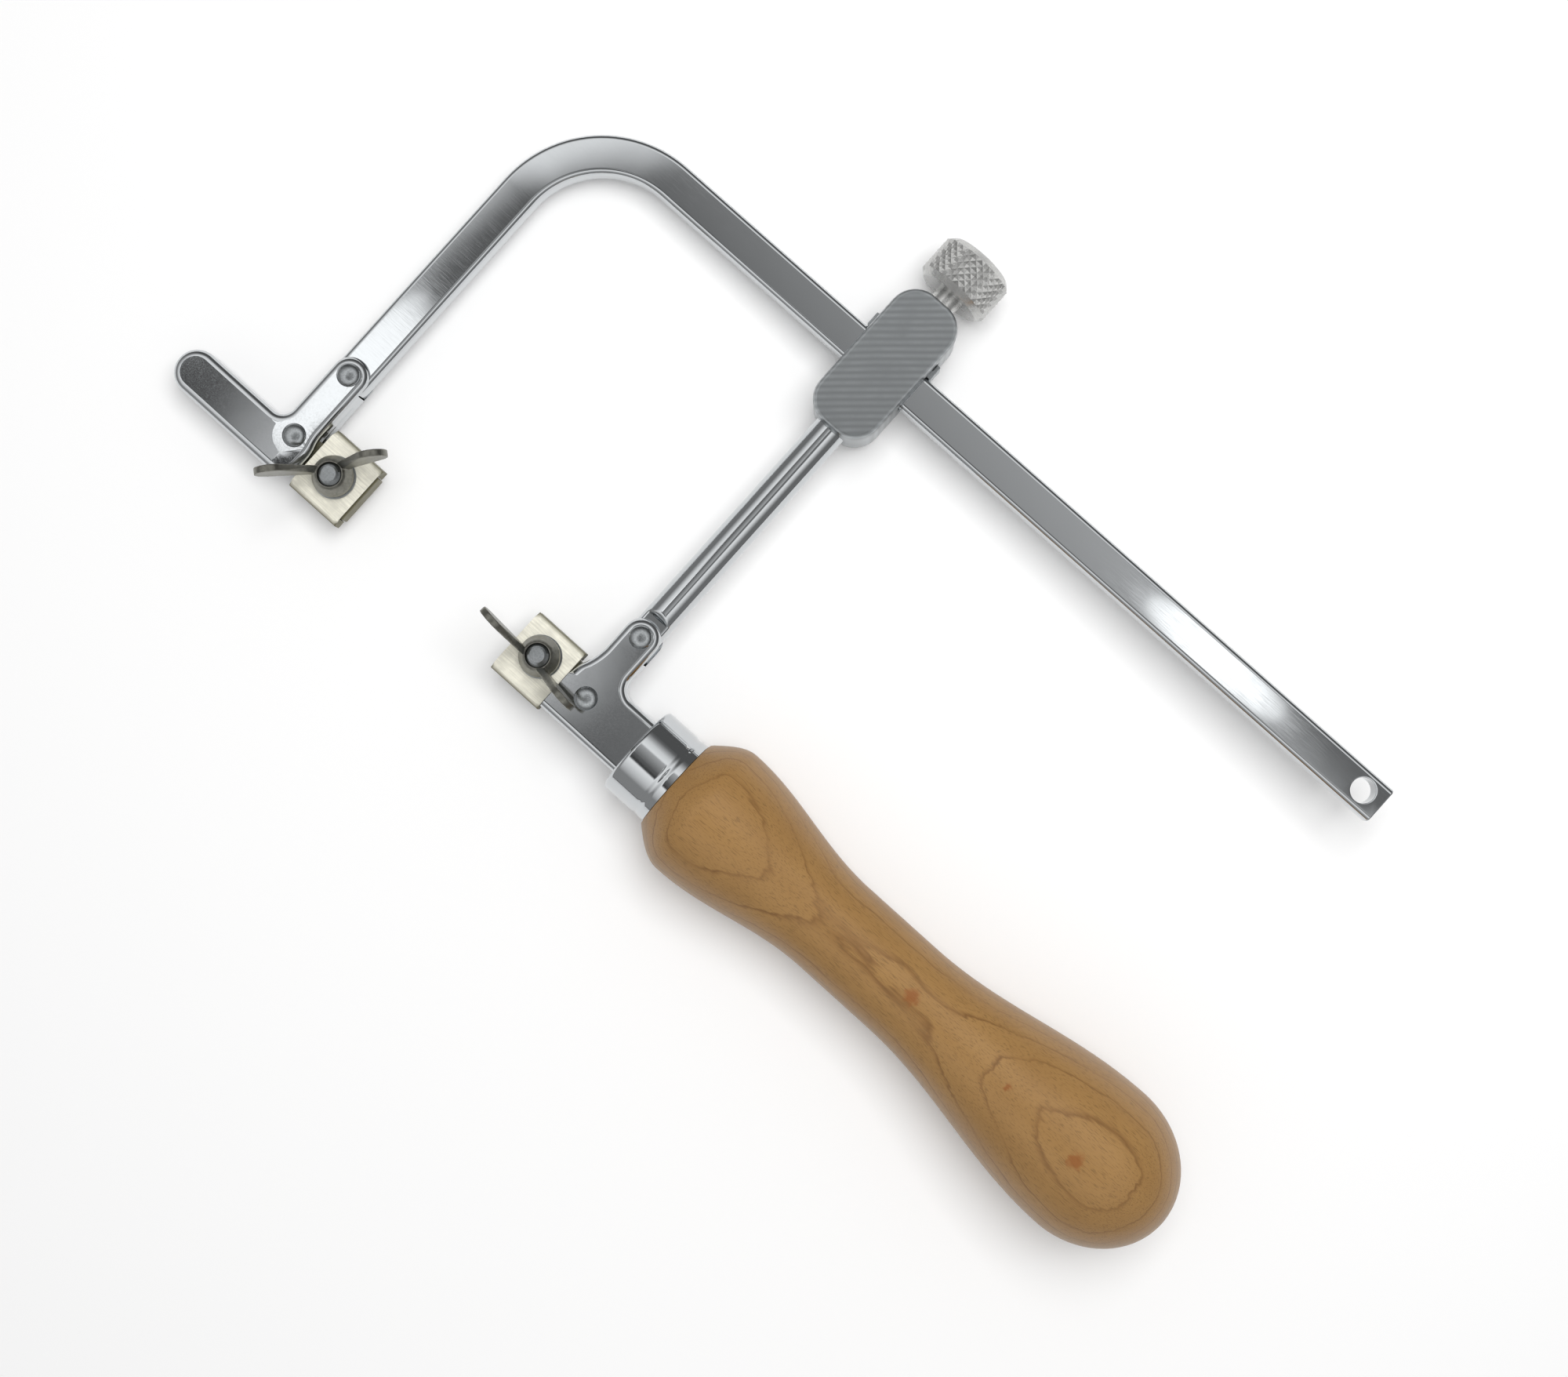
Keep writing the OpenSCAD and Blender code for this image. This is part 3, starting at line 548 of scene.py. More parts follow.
def milled_steel(name, colours):
    """Milled steel of the slider block: even cutter marks at a slant across a satin, stained face."""
    material, tree, shader, place = start_material(name)
    pitch, mark_depth = 1.15 * MM, 0.006 * MM
    stain_width = 3 * MM
    # The wave texture's phase grows by this much over one unit of its coordinates
    phase = 20
    slant = lying(tree, place, EVEN, rotation=(0, 0, math.radians(-42)))
    marks = add(tree, "ShaderNodeTexWave", {"Vector": slant, "Scale": TURN / (phase * pitch),
                                            "Distortion": 0.8, "Detail": 2.0, "Detail Scale": 0.4},
                bands_direction="Y").outputs[1]
    strength = reckoned(tree, "MULTIPLY", marks, clouds(tree, place, stain_width, 4.0))
    base = shaded(tree, colours.steel, ranged(tree, strength, 0.0, 0.6, 0.70, 0.90))
    fill(tree, shader, {"Base Color": base, "Metallic": 1.0, "Roughness": 0.34,
                        "Normal": bumped(tree, strength, mark_depth)})
    return material


def finish(slot, colours):
    """The material of a record slot, named for it and made once."""
    name = slot.replace("_", " ").capitalize()
    # Drawn tube and rod, flat bar, pressed sheet: roughness, lie of the buffing, height of waves in mm
    chromed = {
        "chrome_tube": (0.06, EVEN, 0.003),
        "chrome_bar": (0.05, LENGTHWAYS, 0.008),
        "chrome_pressing": (0.06, EVEN, 0.006),
    }
    # Steel and nickel: colour, roughness, share of metal, lie, width and depth of the scratches in mm
    worked = {
        "rivet_steel": (colours.steel, 0.24, 1.0, EVEN, 0.3, 0.003),
        "knurled_steel": (colours.knurled, 0.24, 0.75, EVEN, 0.2, 0.002),
        # The nickel's last entry is the colour of the painted shade for whatever lies below the jaw plates'
        # tops
        "nickel_plate": (colours.nickel, 0.45, 0.12, LENGTHWAYS, 0.25, 0.006, colours.nickel_side_painted_shade),
        "wing_steel": (colours.wing, 0.38, 1.0, EVEN, 0.5, 0.012),
        "plain_steel": (colours.steel, 0.40, 1.0, EVEN, 0.3, 0.005),
    }
    if name in bpy.data.materials:
        return bpy.data.materials[name]
    if slot in chromed:
        return chrome_plate(name, colours.chrome, *chromed[slot])
    if slot in worked:
        return worked_steel(name, *worked[slot])
    return {"beech": varnished_beech, "milled_steel": milled_steel}[slot](name, colours)


# Pieces

def settings(context):
    """The sizes and colours that the pieces are built with."""
    return context.scene.fret_saw_sizes, context.scene.fret_saw_colours


class FRETSAW_OT_handle(bpy.types.Operator):
    """Turn the beech handle"""

    bl_idname = "fret_saw.handle"
    bl_label = "Turned handle"

    def execute(self, context):
        sizes, colours = settings(context)
        low, high = BOX["handle"]
        reach = high.x
        steps = 20
        edge = 0.4 * MM
        # A hair inside the CAD's bulb
        bulb = (high.y - low.y) / 2 - 0.01 * MM
        shoulder, swell, waist = sizes.shoulder_d / 2, sizes.swell_d / 2, sizes.waist_d / 2
        spigot = BOX["ferrule"][1].y - sizes.ferrule_wall
        swell_x, bulb_x = sizes.swell_share * reach, sizes.bulb_share * reach
        profile = [(low.x, 0.0), (low.x, spigot), (0.0, spigot), (0.0, shoulder - edge)]
        profile += [(edge + (swell_x - edge) * t, shoulder + (swell - shoulder) * math.sin(TURN / 4 * t))
                    for t in spaced(0, 1, steps)]
        eased = ((swell_x, sizes.waist_from_share * reach, swell, waist),
                 (sizes.waist_to_share * reach, bulb_x, waist, bulb))
        for first, last, r_from, r_to in eased:
            profile += [(first + (last - first) * t,
                         r_from + (r_to - r_from) * (1 - math.cos(TURN / 2 * t)) / 2)
                        for t in spaced(0, 1, steps)]
        profile += [(bulb_x + (reach - bulb_x) * math.sin(angle), bulb * math.cos(angle))
                    for angle in spaced(0, TURN / 4, steps)[1:]]
        bm = turned(profile, "X", Vector(), 96)
        finish_piece(bm, "handle_turning", colours, "body", "beech", "handle")
        return {"FINISHED"}


class FRETSAW_OT_ferrule(bpy.types.Operator):
    """Draw the ferrule tube with its rounded front and its crimped groove"""

    bl_idname = "fret_saw.ferrule"
    bl_label = "Ferrule"

    def execute(self, context):
        sizes, colours = settings(context)
        low, high = BOX["ferrule"]
        r = high.y
        edge, wall = sizes.ferrule_edge, sizes.ferrule_wall
        groove_x, groove_half = -2.1 * MM, 0.9 * MM
        back_edge = 0.15 * MM
        profile = [(low.x, 0.0), (low.x, r - edge)]
        profile += [(low.x + edge * (1 - math.cos(angle)), r - edge + edge * math.sin(angle))
                    for angle in spaced(0, TURN / 4, 6)[1:]]
        profile += [(groove_x + t * groove_half, r - sizes.ferrule_crimp * math.cos(TURN / 4 * t) ** 2)
                    for t in spaced(-1, 1, 12)]
        profile += [(high.x - back_edge, r), (high.x, r - back_edge), (high.x, r - wall),
                    (low.x + wall, r - wall), (low.x + wall, 0.0)]
        bm = turned(profile, "X", Vector(), 96)
        finish_piece(bm, "ferrule_tube", colours, "body", "chrome_tube", "ferrule")
        return {"FINISHED"}


class FRETSAW_OT_bow(bpy.types.Operator):
    """Bend the flat bar of the bow and drill its free end"""

    bl_idname = "fret_saw.bow"
    bl_label = "Bow bar"

    def execute(self, context):
        sizes, colours = settings(context)
        low, high = BOX["bow_bar"]
        half = BAR_W / 2
        hole_r = sizes.hang_hole_d / 2
        end_edge, hole_edge = 0.25 * MM, 0.2 * MM
        bend = Vector((PIVOT.x + sizes.bend_r, high.y - half - sizes.bend_r, low.z))
        hole = Vector((high.x - sizes.hang_hole_inset, high.y - half, 0.0))
        bm = bmesh.new()
        ends = [bm.verts.new((PIVOT.x + side * half, PIVOT.y - half, low.z)) for side in (-1, 1)]
        edge = drawn(bm, [bm.edges.new(ends)], (0, bend.y - PIVOT.y + half, 0))[0]
        spun = bmesh.ops.spin(bm, geom=[*edge.verts, edge], cent=bend, axis=(0, 0, 1), angle=-TURN / 4,
                              steps=28)["geom_last"]
        edge = drawn(bm, picked(spun, EDGE)[:1], (hole.x - half - bend.x, 0, 0))[0]
        drawn(bm, [edge], (high.x - hole.x + half, 0, 0))
        outward(bm)
        for vert in ends:
            rounded(bm, [vert], half - ROUND_GAP, CORNER_STEPS, "VERTICES")
        raised(bm, bm.faces[:], BAR_T)
        outward(bm)
        long_edges = corners_of(bm, lambda p: near(p.z, low.z, high.z) and not near(p.x, high.x))
        rounded(bm, long_edges, sizes.bar_edge, 5)
        rims = [self.drilled(bm, hole, level, hole_r) for level in (low.z, high.z)]
        bmesh.ops.bridge_loops(bm, edges=rims[0] + rims[1])
        outward(bm)
        rounded(bm, corners_of(bm, lambda p: near(p.x, high.x)), end_edge)
        hole_edges = corners_of(bm, lambda p: (p - hole).xy.length < 1.02 * hole_r
                                and near(p.z, low.z, high.z))
        rounded(bm, hole_edges, hole_edge)
        self.dish(bm, sizes, bend)
        finish_piece(bm, "bow_flat_bar", colours, "bow", "chrome_bar", "bow_bar", smooth_angle=20)
        return {"FINISHED"}

    @staticmethod
    def dish(bm, sizes, bend):
        """Thins the outside of the bend and thickens its inside, as cold bending does."""
        run_out = math.radians(18)
        for vert in bm.verts:
            spoke = (vert.co - bend).xy
            angle = math.atan2(spoke.y, -spoke.x)
            share_bent = held(min(angle, TURN / 4 - angle) / run_out, 0.0, 1.0)
            outwards = held(spoke.length - sizes.bend_r, -BAR_W, BAR_W)
            vert.co.z *= 1 - share_bent * 2 * math.tan(sizes.bend_dish) * outwards / BAR_T

    @staticmethod
    def drilled(bm, hole, level, radius):
        """Opens a round hole in the flat face round a point and returns its rim."""
        flat = [f for f in bm.faces if near(f.calc_center_median().z, level) and abs(f.normal.z) > 0.99]
        target = min(flat, key=lambda f: (f.calc_center_median().xy - hole.xy).length)
        edges = opened(bm, target)
        rim = round_rim(bm, (hole.x, hole.y, level), radius, 40)
        filled(bm, edges + rim)
        return rim


def pressed_shell(sizes, corners, clevis_y, plain_x=None):
    """Half of a pressing: an outline with a rolled rim over a hollow clevis, lying on the middle plane.
    An end at plain_x is cut off square, without a rim."""
    bm = slab(corners, 0.0, SHELL_TOP)
    rim = corners_of(bm, lambda p: near(p.z, SHELL_TOP) and (plain_x is None or not near(p.x, plain_x)))
    rounded(bm, rim, sizes.rim_r, 6)
    rounded(bm, corners_of(bm, lambda p: near(p.z, 0.0)), sizes.seam)
    open_clevis(bm, clevis_y, SHELL_TOP - sizes.sheet_t)
    return bm


def open_clevis(bm, from_y, height):
    """Cuts away the underside of the part of a shell that lies past a line."""
    cut(bm, from_y, "Y")
    cut(bm, height, "Z")
    inside = [f for f in bm.faces if f.calc_center_median().y > from_y and f.calc_center_median().z < height]
    bmesh.ops.delete(bm, geom=inside, context="FACES")
    corner = [v for v in bm.verts if v.is_boundary and near(v.co.y, from_y) and near(v.co.z, height)]
    ends = (min(corner, key=lambda v: v.co.x), max(corner, key=lambda v: v.co.x))
    step = bm.edges.get(ends) or bm.edges.new(ends)
    for accept in (lambda v: near(v.co.z, height) and v.co.y > from_y - MERGE,
                   lambda v: near(v.co.y, from_y)):
        loop = [e for e in bm.edges if (e.is_boundary or e is step) and all(accept(v) for v in e.verts)]
        bmesh.ops.contextual_create(bm, geom=loop)


def both_halves(bm, colours, body, node):
    """Finishes the front half of a pressing and its mirror image behind the middle plane."""
    back = bm.copy()
    bmesh.ops.scale(back, vec=(1, 1, -1), verts=back.verts)
    for half, side in ((bm, "front"), (back, "back")):
        finish_piece(half, f"{node}_pressing_{side}", colours, body, "chrome_pressing",
                     f"{node}_{side}_shell", smooth_angle=30)


class FRETSAW_OT_bracket(bpy.types.Operator):
    """Press the two halves of the bracket"""

    bl_idname = "fret_saw.bracket"
    bl_label = "Bracket"

    def execute(self, context):
        sizes, colours = settings(context)
        low, high = BOX["bracket_front_shell"]
        left, right = SCREW.x - LINK_R, SCREW.x + LINK_R
        link_r = LINK_R - ROUND_GAP
        shoulder_r = 2.5 * MM
        nose_drop, nose_r = 1.5 * MM, 2.0 * MM
        corners = [(low.x, low.y, 0.0), (high.x, low.y, 0.0), (high.x, -low.y, 0.0),
                   (right, -low.y, sizes.bracket_fillet), (right, high.y, link_r), (left, high.y, link_r),
                   (left, -low.y + (left - low.x), shoulder_r), (low.x, -low.y - nose_drop, nose_r)]
        bm = pressed_shell(sizes, corners, BOX["post_rod"][0].y - CLEVIS_GAP, low.x)
        both_halves(bm, colours, "body", "bracket")
        return {"FINISHED"}


class FRETSAW_OT_lever(bpy.types.Operator):
    """Press the two halves of the tension lever with their dished arms"""

    bl_idname = "fret_saw.lever"
    bl_label = "Tension lever"

    def execute(self, context):
        sizes, colours = settings(context)
        low, high = BOX["lever_front_shell"]
        left, right = PIVOT.x - LINK_R, PIVOT.x + LINK_R
        arm_r = -low.y - sizes.lever_drop
        arm_top = arm_r - sizes.lever_drop
        end_r, link_r = arm_r - ROUND_GAP, LINK_R - ROUND_GAP
        slant, slant_r = 1.2 * MM, 1.0 * MM
        clevis_y = BOX["bow_bar"][0].y - CLEVIS_GAP
        corners = [(low.x, low.y, end_r), (high.x, low.y, end_r), (high.x, arm_top - slant, slant_r),
                   (right, arm_top + slant, slant_r), (right, high.y, link_r), (left, high.y, link_r),
                   (left, arm_top, sizes.lever_fillet), (low.x, arm_top, end_r)]
        bm = pressed_shell(sizes, corners, clevis_y)
        self.dish(bm, sizes, low.x + arm_r, arm_r - sizes.rim_r)
        self.fill_corners(bm, PIVOT.y - clevis_y, SHELL_TOP - sizes.sheet_t)
        both_halves(bm, colours, "lever", "lever")
        return {"FINISHED"}

    @staticmethod
    def fill_corners(bm, clear, height):
        """Closes the clevis on both sides of the bar's round end, clear of its swing."""
        arc = [(clear * math.cos(angle), -clear * math.sin(angle))
               for angle in spaced(math.acos(LINK_R / clear), math.radians(80), 8)]
        corner = arc + [(arc[-1][0], -clear), (LINK_R, -clear)]
        for side in (-1, 1):
            verts = [bm.verts.new((PIVOT.x + side * x, PIVOT.y + y, 0.0)) for x, y in corner]
            raised(bm, [bm.faces.new(verts)], height)

    @staticmethod
    def dish(bm, sizes, tip_x, half):
        """Sinks a sloping panel into the arm, from its tip to the round end of the link."""
        centre_y = -sizes.lever_drop
        step_r = sizes.dish_step_r
        rivet = Vector((PIVOT.x, sizes.clamp_rivet_rise))
        tops = [f for f in bm.faces if near(f.calc_center_median().z, SHELL_TOP)]
        edges = opened(bm, max(tops, key=lambda f: f.calc_area()))
        points = [(tip_x + half * math.cos(angle), centre_y + half * math.sin(angle))
                  for angle in spaced(TURN / 4, 3 * TURN / 4, 12)]
        points += [(rivet.x - math.sqrt(max(step_r ** 2 - (y - rivet.y) ** 2, 0.0)), y)
                   for y in spaced(centre_y - half, centre_y + half, 8)]
        rim = loop_of(bm, [bm.verts.new((x, y, SHELL_TOP)) for x, y in points])
        filled(bm, edges + rim)
        walls = bmesh.ops.extrude_edge_only(bm, edges=rim)["geom"]
        floor = picked(walls, VERT)
        for vert in floor:
            vert.co.z -= sizes.dish_depth - math.tan(sizes.dish_slope) * (rivet.x - step_r - vert.co.x)
        floor_edges = [e for e in picked(walls, EDGE) if all(v in floor for v in e.verts)]
        bmesh.ops.contextual_create(bm, geom=floor_edges)
        outward(bm)


class FRETSAW_OT_rivets(bpy.types.Operator):
    """Close the four rivets with their domed heads"""

    bl_idname = "fret_saw.rivets"
    bl_label = "Rivets"

    def execute(self, context):
        sizes, colours = settings(context)
        head_r = sizes.rivet_head_d / 2
        # The head's edge turns under, so a dark line shows where it sits on the sheet
        under, tuck = 0.12 * MM, 0.15 * MM
        bodies = {"rod_rivet": "body", "lower_clamp_rivet": "body", "lever_pivot_rivet": "lever",
                  "upper_clamp_rivet": "lever"}
        for node, body in bodies.items():
            low, high = BOX[node]
            centre = Vector(((low.x + high.x) / 2, (low.y + high.y) / 2, 0))
            dome = high.z - SHELL_TOP
            profile = [(SHELL_TOP + dome * math.cos(angle), head_r * math.sin(angle))
                       for angle in spaced(0, TURN / 4, 12)]
            profile.append((SHELL_TOP - under, head_r - tuck))
            profile += [(-place, radius) for place, radius in reversed(profile)]
            bm = turned(profile, "Z", centre, 48)
            finish_piece(bm, f"{node}_domed", colours, body, "rivet_steel", node, smooth_angle=50)
        return {"FINISHED"}


class FRETSAW_OT_post(bpy.types.Operator):
    """Draw the round post and flatten its foot"""

    bl_idname = "fret_saw.post"
    bl_label = "Post rod"

    def execute(self, context):
        sizes, colours = settings(context)
        low, high = BOX["post_rod"]
        r = (high.x - low.x) / 2
        edge, run_out = 0.3 * MM, 1.5 * MM
        flat_y = PIVOT.y + sizes.post_flat
        profile = [(low.y, 0.0), (low.y, r - edge), (low.y + edge, r)]
        profile += [(y, r) for y in spaced(flat_y, flat_y + run_out, 6)]
        profile += [(high.y, r), (high.y, 0.0)]
        bm = turned(profile, "Y", POST_AXIS, 64)
        # The foot is pressed to the bar's thickness and runs out into the round
        for vert in bm.verts:
            share_round = held((vert.co.y - flat_y) / run_out, 0.0, 1.0)
            limit = BAR_T / 2 + (r - BAR_T / 2) * math.sin(TURN / 4 * share_round)
            vert.co.z = held(vert.co.z, -limit, limit)
        finish_piece(bm, "post_round_rod", colours, "body", "chrome_tube", "post_rod")
        return {"FINISHED"}


class FRETSAW_OT_block(bpy.types.Operator):
    """Mill the slider block with its slot for the bar"""

    bl_idname = "fret_saw.block"
    bl_label = "Slider block"

    def execute(self, context):
        sizes, colours = settings(context)
        low, high = BOX["slider_block"]
        shoe_play, slot_edge = 1.6 * MM, 0.3 * MM
        slot_low = BOX["bow_bar"][1].y - BAR_W - sizes.slot_clearance
        slot_high = BOX["thumb_screw"][0].y + shoe_play
        slot_z = BAR_T / 2 + sizes.slot_clearance
        plan = ((low.x, low.y), (high.x, low.y), (high.x, high.y), (low.x, high.y))
        bm = slab([(x, y, sizes.block_corner) for x, y in plan], low.z, high.z)
        rounded(bm, corners_of(bm, lambda p: near(p.z, low.z, high.z)), sizes.block_chamfer)
        for place, axis in ((slot_low, "Y"), (slot_high, "Y"), (slot_z, "Z"), (-slot_z, "Z")):
            cut(bm, place, axis)
        mouths = [f for f in bm.faces if slot_low < f.calc_center_median().y < slot_high
                  and abs(f.calc_center_median().z) < slot_z]
        bmesh.ops.delete(bm, geom=mouths, context="FACES")
        bmesh.ops.bridge_loops(bm, edges=[e for e in bm.edges if e.is_boundary])
        outward(bm)
        slot_edges = corners_of(bm, lambda p: near(p.x, low.x, high.x)
                                and slot_low - MERGE < p.y < slot_high + MERGE, 80)
        rounded(bm, slot_edges, slot_edge)
        finish_piece(bm, "slider_milled_block", colours, "body", "milled_steel", "slider_block",
                     smooth_angle=30)
        return {"FINISHED"}


class FRETSAW_OT_thumb_screw(bpy.types.Operator):
    """Turn the thumb screw, roll its knurl and cut its thread"""

    bl_idname = "fret_saw.thumb_screw"
    bl_label = "Thumb screw"

    def execute(self, context):
        sizes, colours = settings(context)
        low, high = BOX["thumb_screw"]
        r = (high.x - low.x) / 2
        knob_y = high.y - sizes.knob_len
        grip_from, grip_to = knob_y + sizes.knob_chamfer, high.y - sizes.knob_chamfer
        spacing = sizes.knurl_pitch * math.sqrt(2) / 2
        steps = 2 * round(TURN * r / spacing / 2)
        rows = round((grip_to - grip_from) / spacing)
        end_r, dish_r = r - sizes.knob_chamfer, sizes.knob_dish_d / 2
        edge = 0.3 * MM
        dish_rim, dish_wall, dish_depth = 0.25 * MM, 0.5 * MM, 0.4 * MM
        profile = [(knob_y, 0.0), (knob_y, end_r), (knob_y + edge, end_r + edge)]
        profile += [(y, r) for y in spaced(grip_from, grip_to, rows)]
        profile += [(high.y - edge, end_r + edge), (high.y, end_r), (high.y, dish_r),
                    (high.y - dish_rim, dish_r - dish_wall), (high.y - dish_depth, 0.0)]
        bm = turned(profile, "Y", POST_AXIS, steps)
        self.knurl(bm, sizes.knurl_depth, grip_from, (grip_to - grip_from) / rows, rows, steps)
        # The thread ends in the block, and a plain neck shows under the head
        thread_share = 0.61
        bury, lead = 0.5 * MM, 0.2 * MM
        neck_y = BOX["slider_block"][1].y - bury
        neck_r = sizes.screw_d / 2
        core_r = neck_r - thread_share * sizes.screw_pitch
        screw = turned([(low.y, 0.0), (low.y, core_r - edge), (low.y + edge, core_r), (neck_y, core_r),
                        (neck_y + edge, neck_r), (knob_y + bury, neck_r), (knob_y + bury, 0.0)],
                       "Y", POST_AXIS, 40)
        threaded(screw, "Y", POST_AXIS, low.y + lead, neck_y - low.y, core_r, neck_r, sizes.screw_pitch)
        stem = bpy.data.meshes.new("screw_stem")
        screw.to_mesh(stem)
        screw.free()
        bm.from_mesh(stem)
        bpy.data.meshes.remove(stem)
        finish_piece(bm, "thumb_screw_knurled", colours, "screw", "knurled_steel", "thumb_screw",
                     smooth_angle=30)
        return {"FINISHED"}

    @staticmethod
    def knurl(bm, depth, grip_from, row_height, rows, steps):
        """Sinks every second vertex of the grip, so that points stand between crossed grooves."""
        sunk = set()
        for vert in bm.verts:
            row = (vert.co.y - grip_from) / row_height
            radial = Vector((vert.co.x - POST_AXIS.x, 0, vert.co.z))
            if not -0.5 < row < rows + 0.5 or radial.length < MM:
                continue
            step = round(math.atan2(radial.z, radial.x) / TURN * steps)
            if (round(row) + step) % 2:
                vert.co -= radial.normalized() * depth
                sunk.add(vert)
        for face in bm.faces[:]:
            grooves = [vert for vert in face.verts if vert in sunk]
            if len(face.verts) == 4 and len(grooves) == 2:
                bmesh.utils.face_split(face, *grooves)


class FRETSAW_OT_shoe(bpy.types.Operator):
    """Bend the pressure shoe between the screw and the bar"""

    bl_idname = "fret_saw.shoe"
    bl_label = "Pressure shoe"

    def execute(self, context):
        sizes, colours = settings(context)
        low, high = BOX["pressure_shoe"]
        lip, top = sizes.shoe_lip, low.y + sizes.shoe_t
        foot_r, lip_r, edge = 0.4 * MM, 0.2 * MM, 0.12 * MM
        bm = slab([(low.x, low.y, foot_r), (high.x, low.y, foot_r), (high.x, high.y, lip_r),
                   (high.x - lip, high.y, lip_r), (high.x - lip, top, 0.0), (low.x + lip, top, 0.0),
                   (low.x + lip, high.y, lip_r), (low.x, high.y, lip_r)], low.z, high.z)
        rounded(bm, corners_of(bm, lambda p: near(p.z, low.z, high.z)), edge)
        finish_piece(bm, "pressure_shoe_strip", colours, "shoe", "plain_steel", "pressure_shoe")
        return {"FINISHED"}


class FRETSAW_OT_jaws(bpy.types.Operator):
    """Make the fixed jaws and the bent plates that close on them"""

    bl_idname = "fret_saw.jaws"
    bl_label = "Blade jaws"

    def execute(self, context):
        sizes, colours = settings(context)
        for side, carrier in (("upper", "lever"), ("lower", "body")):
            finish_piece(self.fixed_jaw(sizes, side), f"{side}_fixed_jaw", colours, carrier,
                         "nickel_plate", f"{side}_jaw_bar", smooth_angle=30)
            finish_piece(self.plate(sizes, side), f"{side}_bent_plate", colours, f"{side}_jaw",
                         "nickel_plate", f"{side}_jaw_plate", smooth_angle=40)
        return {"FINISHED"}

    @staticmethod
    def fixed_jaw(sizes, side):
        """A pad under the blade and the tongue that is riveted in, for the lower jaw with its tang."""
        low, high = BOX[f"{side}_jaw_bar"]
        plate_low, plate_high = BOX[f"{side}_jaw_plate"]
        flat = BAR_T / 2
        tongue_top = flat - 0.55 * BAR_T
        lap, edge = 0.5 * MM, 0.25 * MM
        bm = bmesh.new()
        box_between(bm, (plate_low.x, low.y, -sizes.pad_t), (plate_high.x, high.y, 0))
        if side == "upper":
            tongue_r = 2.9 * MM
            box_between(bm, (low.x, -tongue_r, -flat), (plate_low.x + lap, tongue_r, tongue_top))
        else:
            # The tongue runs on into the tang, which ends in a point inside the wood
            tongue_r, tang_r = 4 * MM, 3 * MM
            tongue_x, tang_x, point_x = -6 * MM, -7 * MM, 27 * MM
            point_share = 0.05
            box_between(bm, (plate_high.x - lap, -tongue_r, -flat), (tongue_x, tongue_r, tongue_top))
            box_between(bm, (tang_x, -tang_r, -flat), (point_x, tang_r, flat))
            point = box_between(bm, (point_x - lap, -tang_r, -flat), (high.x, tang_r, flat))
            bmesh.ops.scale(bm, vec=(1, point_share, 1), verts=[v for v in point if near(v.co.x, high.x)])
        rounded(bm, corners_of(bm, lambda p: True), edge)
        return bm

    @staticmethod
    def plate(sizes, side):
        """A sheet with a hole for the stud, its two sides turned down over the fixed jaw."""
        low, high = BOX[f"{side}_jaw_plate"]
        stud = STUDS[side]
        bend_share, edge = 0.9, 0.12 * MM
        bm = bmesh.new()
        plan = ((high.x, low.y), (high.x, high.y), (low.x, high.y), (low.x, low.y))
        sheet = loop_of(bm, [bm.verts.new((x, y, high.z)) for x, y in plan])
        hole = round_rim(bm, (stud.x, stud.y, high.z), sizes.stud_d / 2 + STUD_GAP, 32)
        filled(bm, sheet + hole)
        drawn(bm, [sheet[0], sheet[2]], (0, 0, low.z - high.z))
        outward(bm)
        if max(bm.faces, key=lambda f: f.calc_area()).normal.z < 0:
            bmesh.ops.reverse_faces(bm, faces=bm.faces)
        rounded(bm, corners_of(bm, lambda p: near(p.z, high.z)), bend_share * sizes.jaw_sheet, 5)
        bmesh.ops.solidify(bm, geom=bm.faces[:], thickness=sizes.jaw_sheet)
        rounded(bm, corners_of(bm, lambda p: (p - stud).xy.length > sizes.stud_d, 70), edge)
        return bm


class FRETSAW_OT_studs(bpy.types.Operator):
    """Thread the clamp studs and stamp their washers"""

    bl_idname = "fret_saw.studs"
    bl_label = "Studs and washers"

    def execute(self, context):
        sizes, colours = settings(context)
        edge, tip_edge, run_out = 0.2 * MM, 0.35 * MM, 0.15 * MM
        thread_share = 0.5
        thread_r = sizes.stud_d / 2
        core_r = thread_r - thread_share * sizes.stud_pitch
        inner = thread_r + STUD_GAP
        for side, body in (("upper", "lever"), ("lower", "body")):
            stud = STUDS[side]
            low, high = BOX[f"{side}_stud"]
            head_r = (high.x - low.x) / 2
            neck = low.z + sizes.stud_head_h
            bm = turned([(low.z, 0.0), (low.z, head_r - edge), (low.z + edge, head_r), (neck - edge, head_r),
                         (neck, head_r - edge), (neck, core_r), (high.z - tip_edge, core_r),
                         (high.z, core_r - tip_edge), (high.z, 0.0)], "Z", stud, 40)
            threaded(bm, "Z", stud, 0.0, high.z - run_out, core_r, thread_r, sizes.stud_pitch)
            finish_piece(bm, f"{side}_threaded_stud", colours, body, "plain_steel", f"{side}_stud",
                         smooth_angle=30)
            low, high = BOX[f"{side}_washer"]
            outer = (high.x - low.x) / 2
            bm = turned([(low.z, inner), (low.z, outer - edge / 2), (low.z + edge, outer),
                         (high.z - edge, outer), (high.z, outer - edge), (high.z, inner + edge),
                         (high.z - edge, inner), (low.z, inner)], "Z", stud, 64)
            finish_piece(bm, f"{side}_round_washer", colours, f"{side}_jaw", "plain_steel",
                         f"{side}_washer", smooth_angle=30)
        return {"FINISHED"}


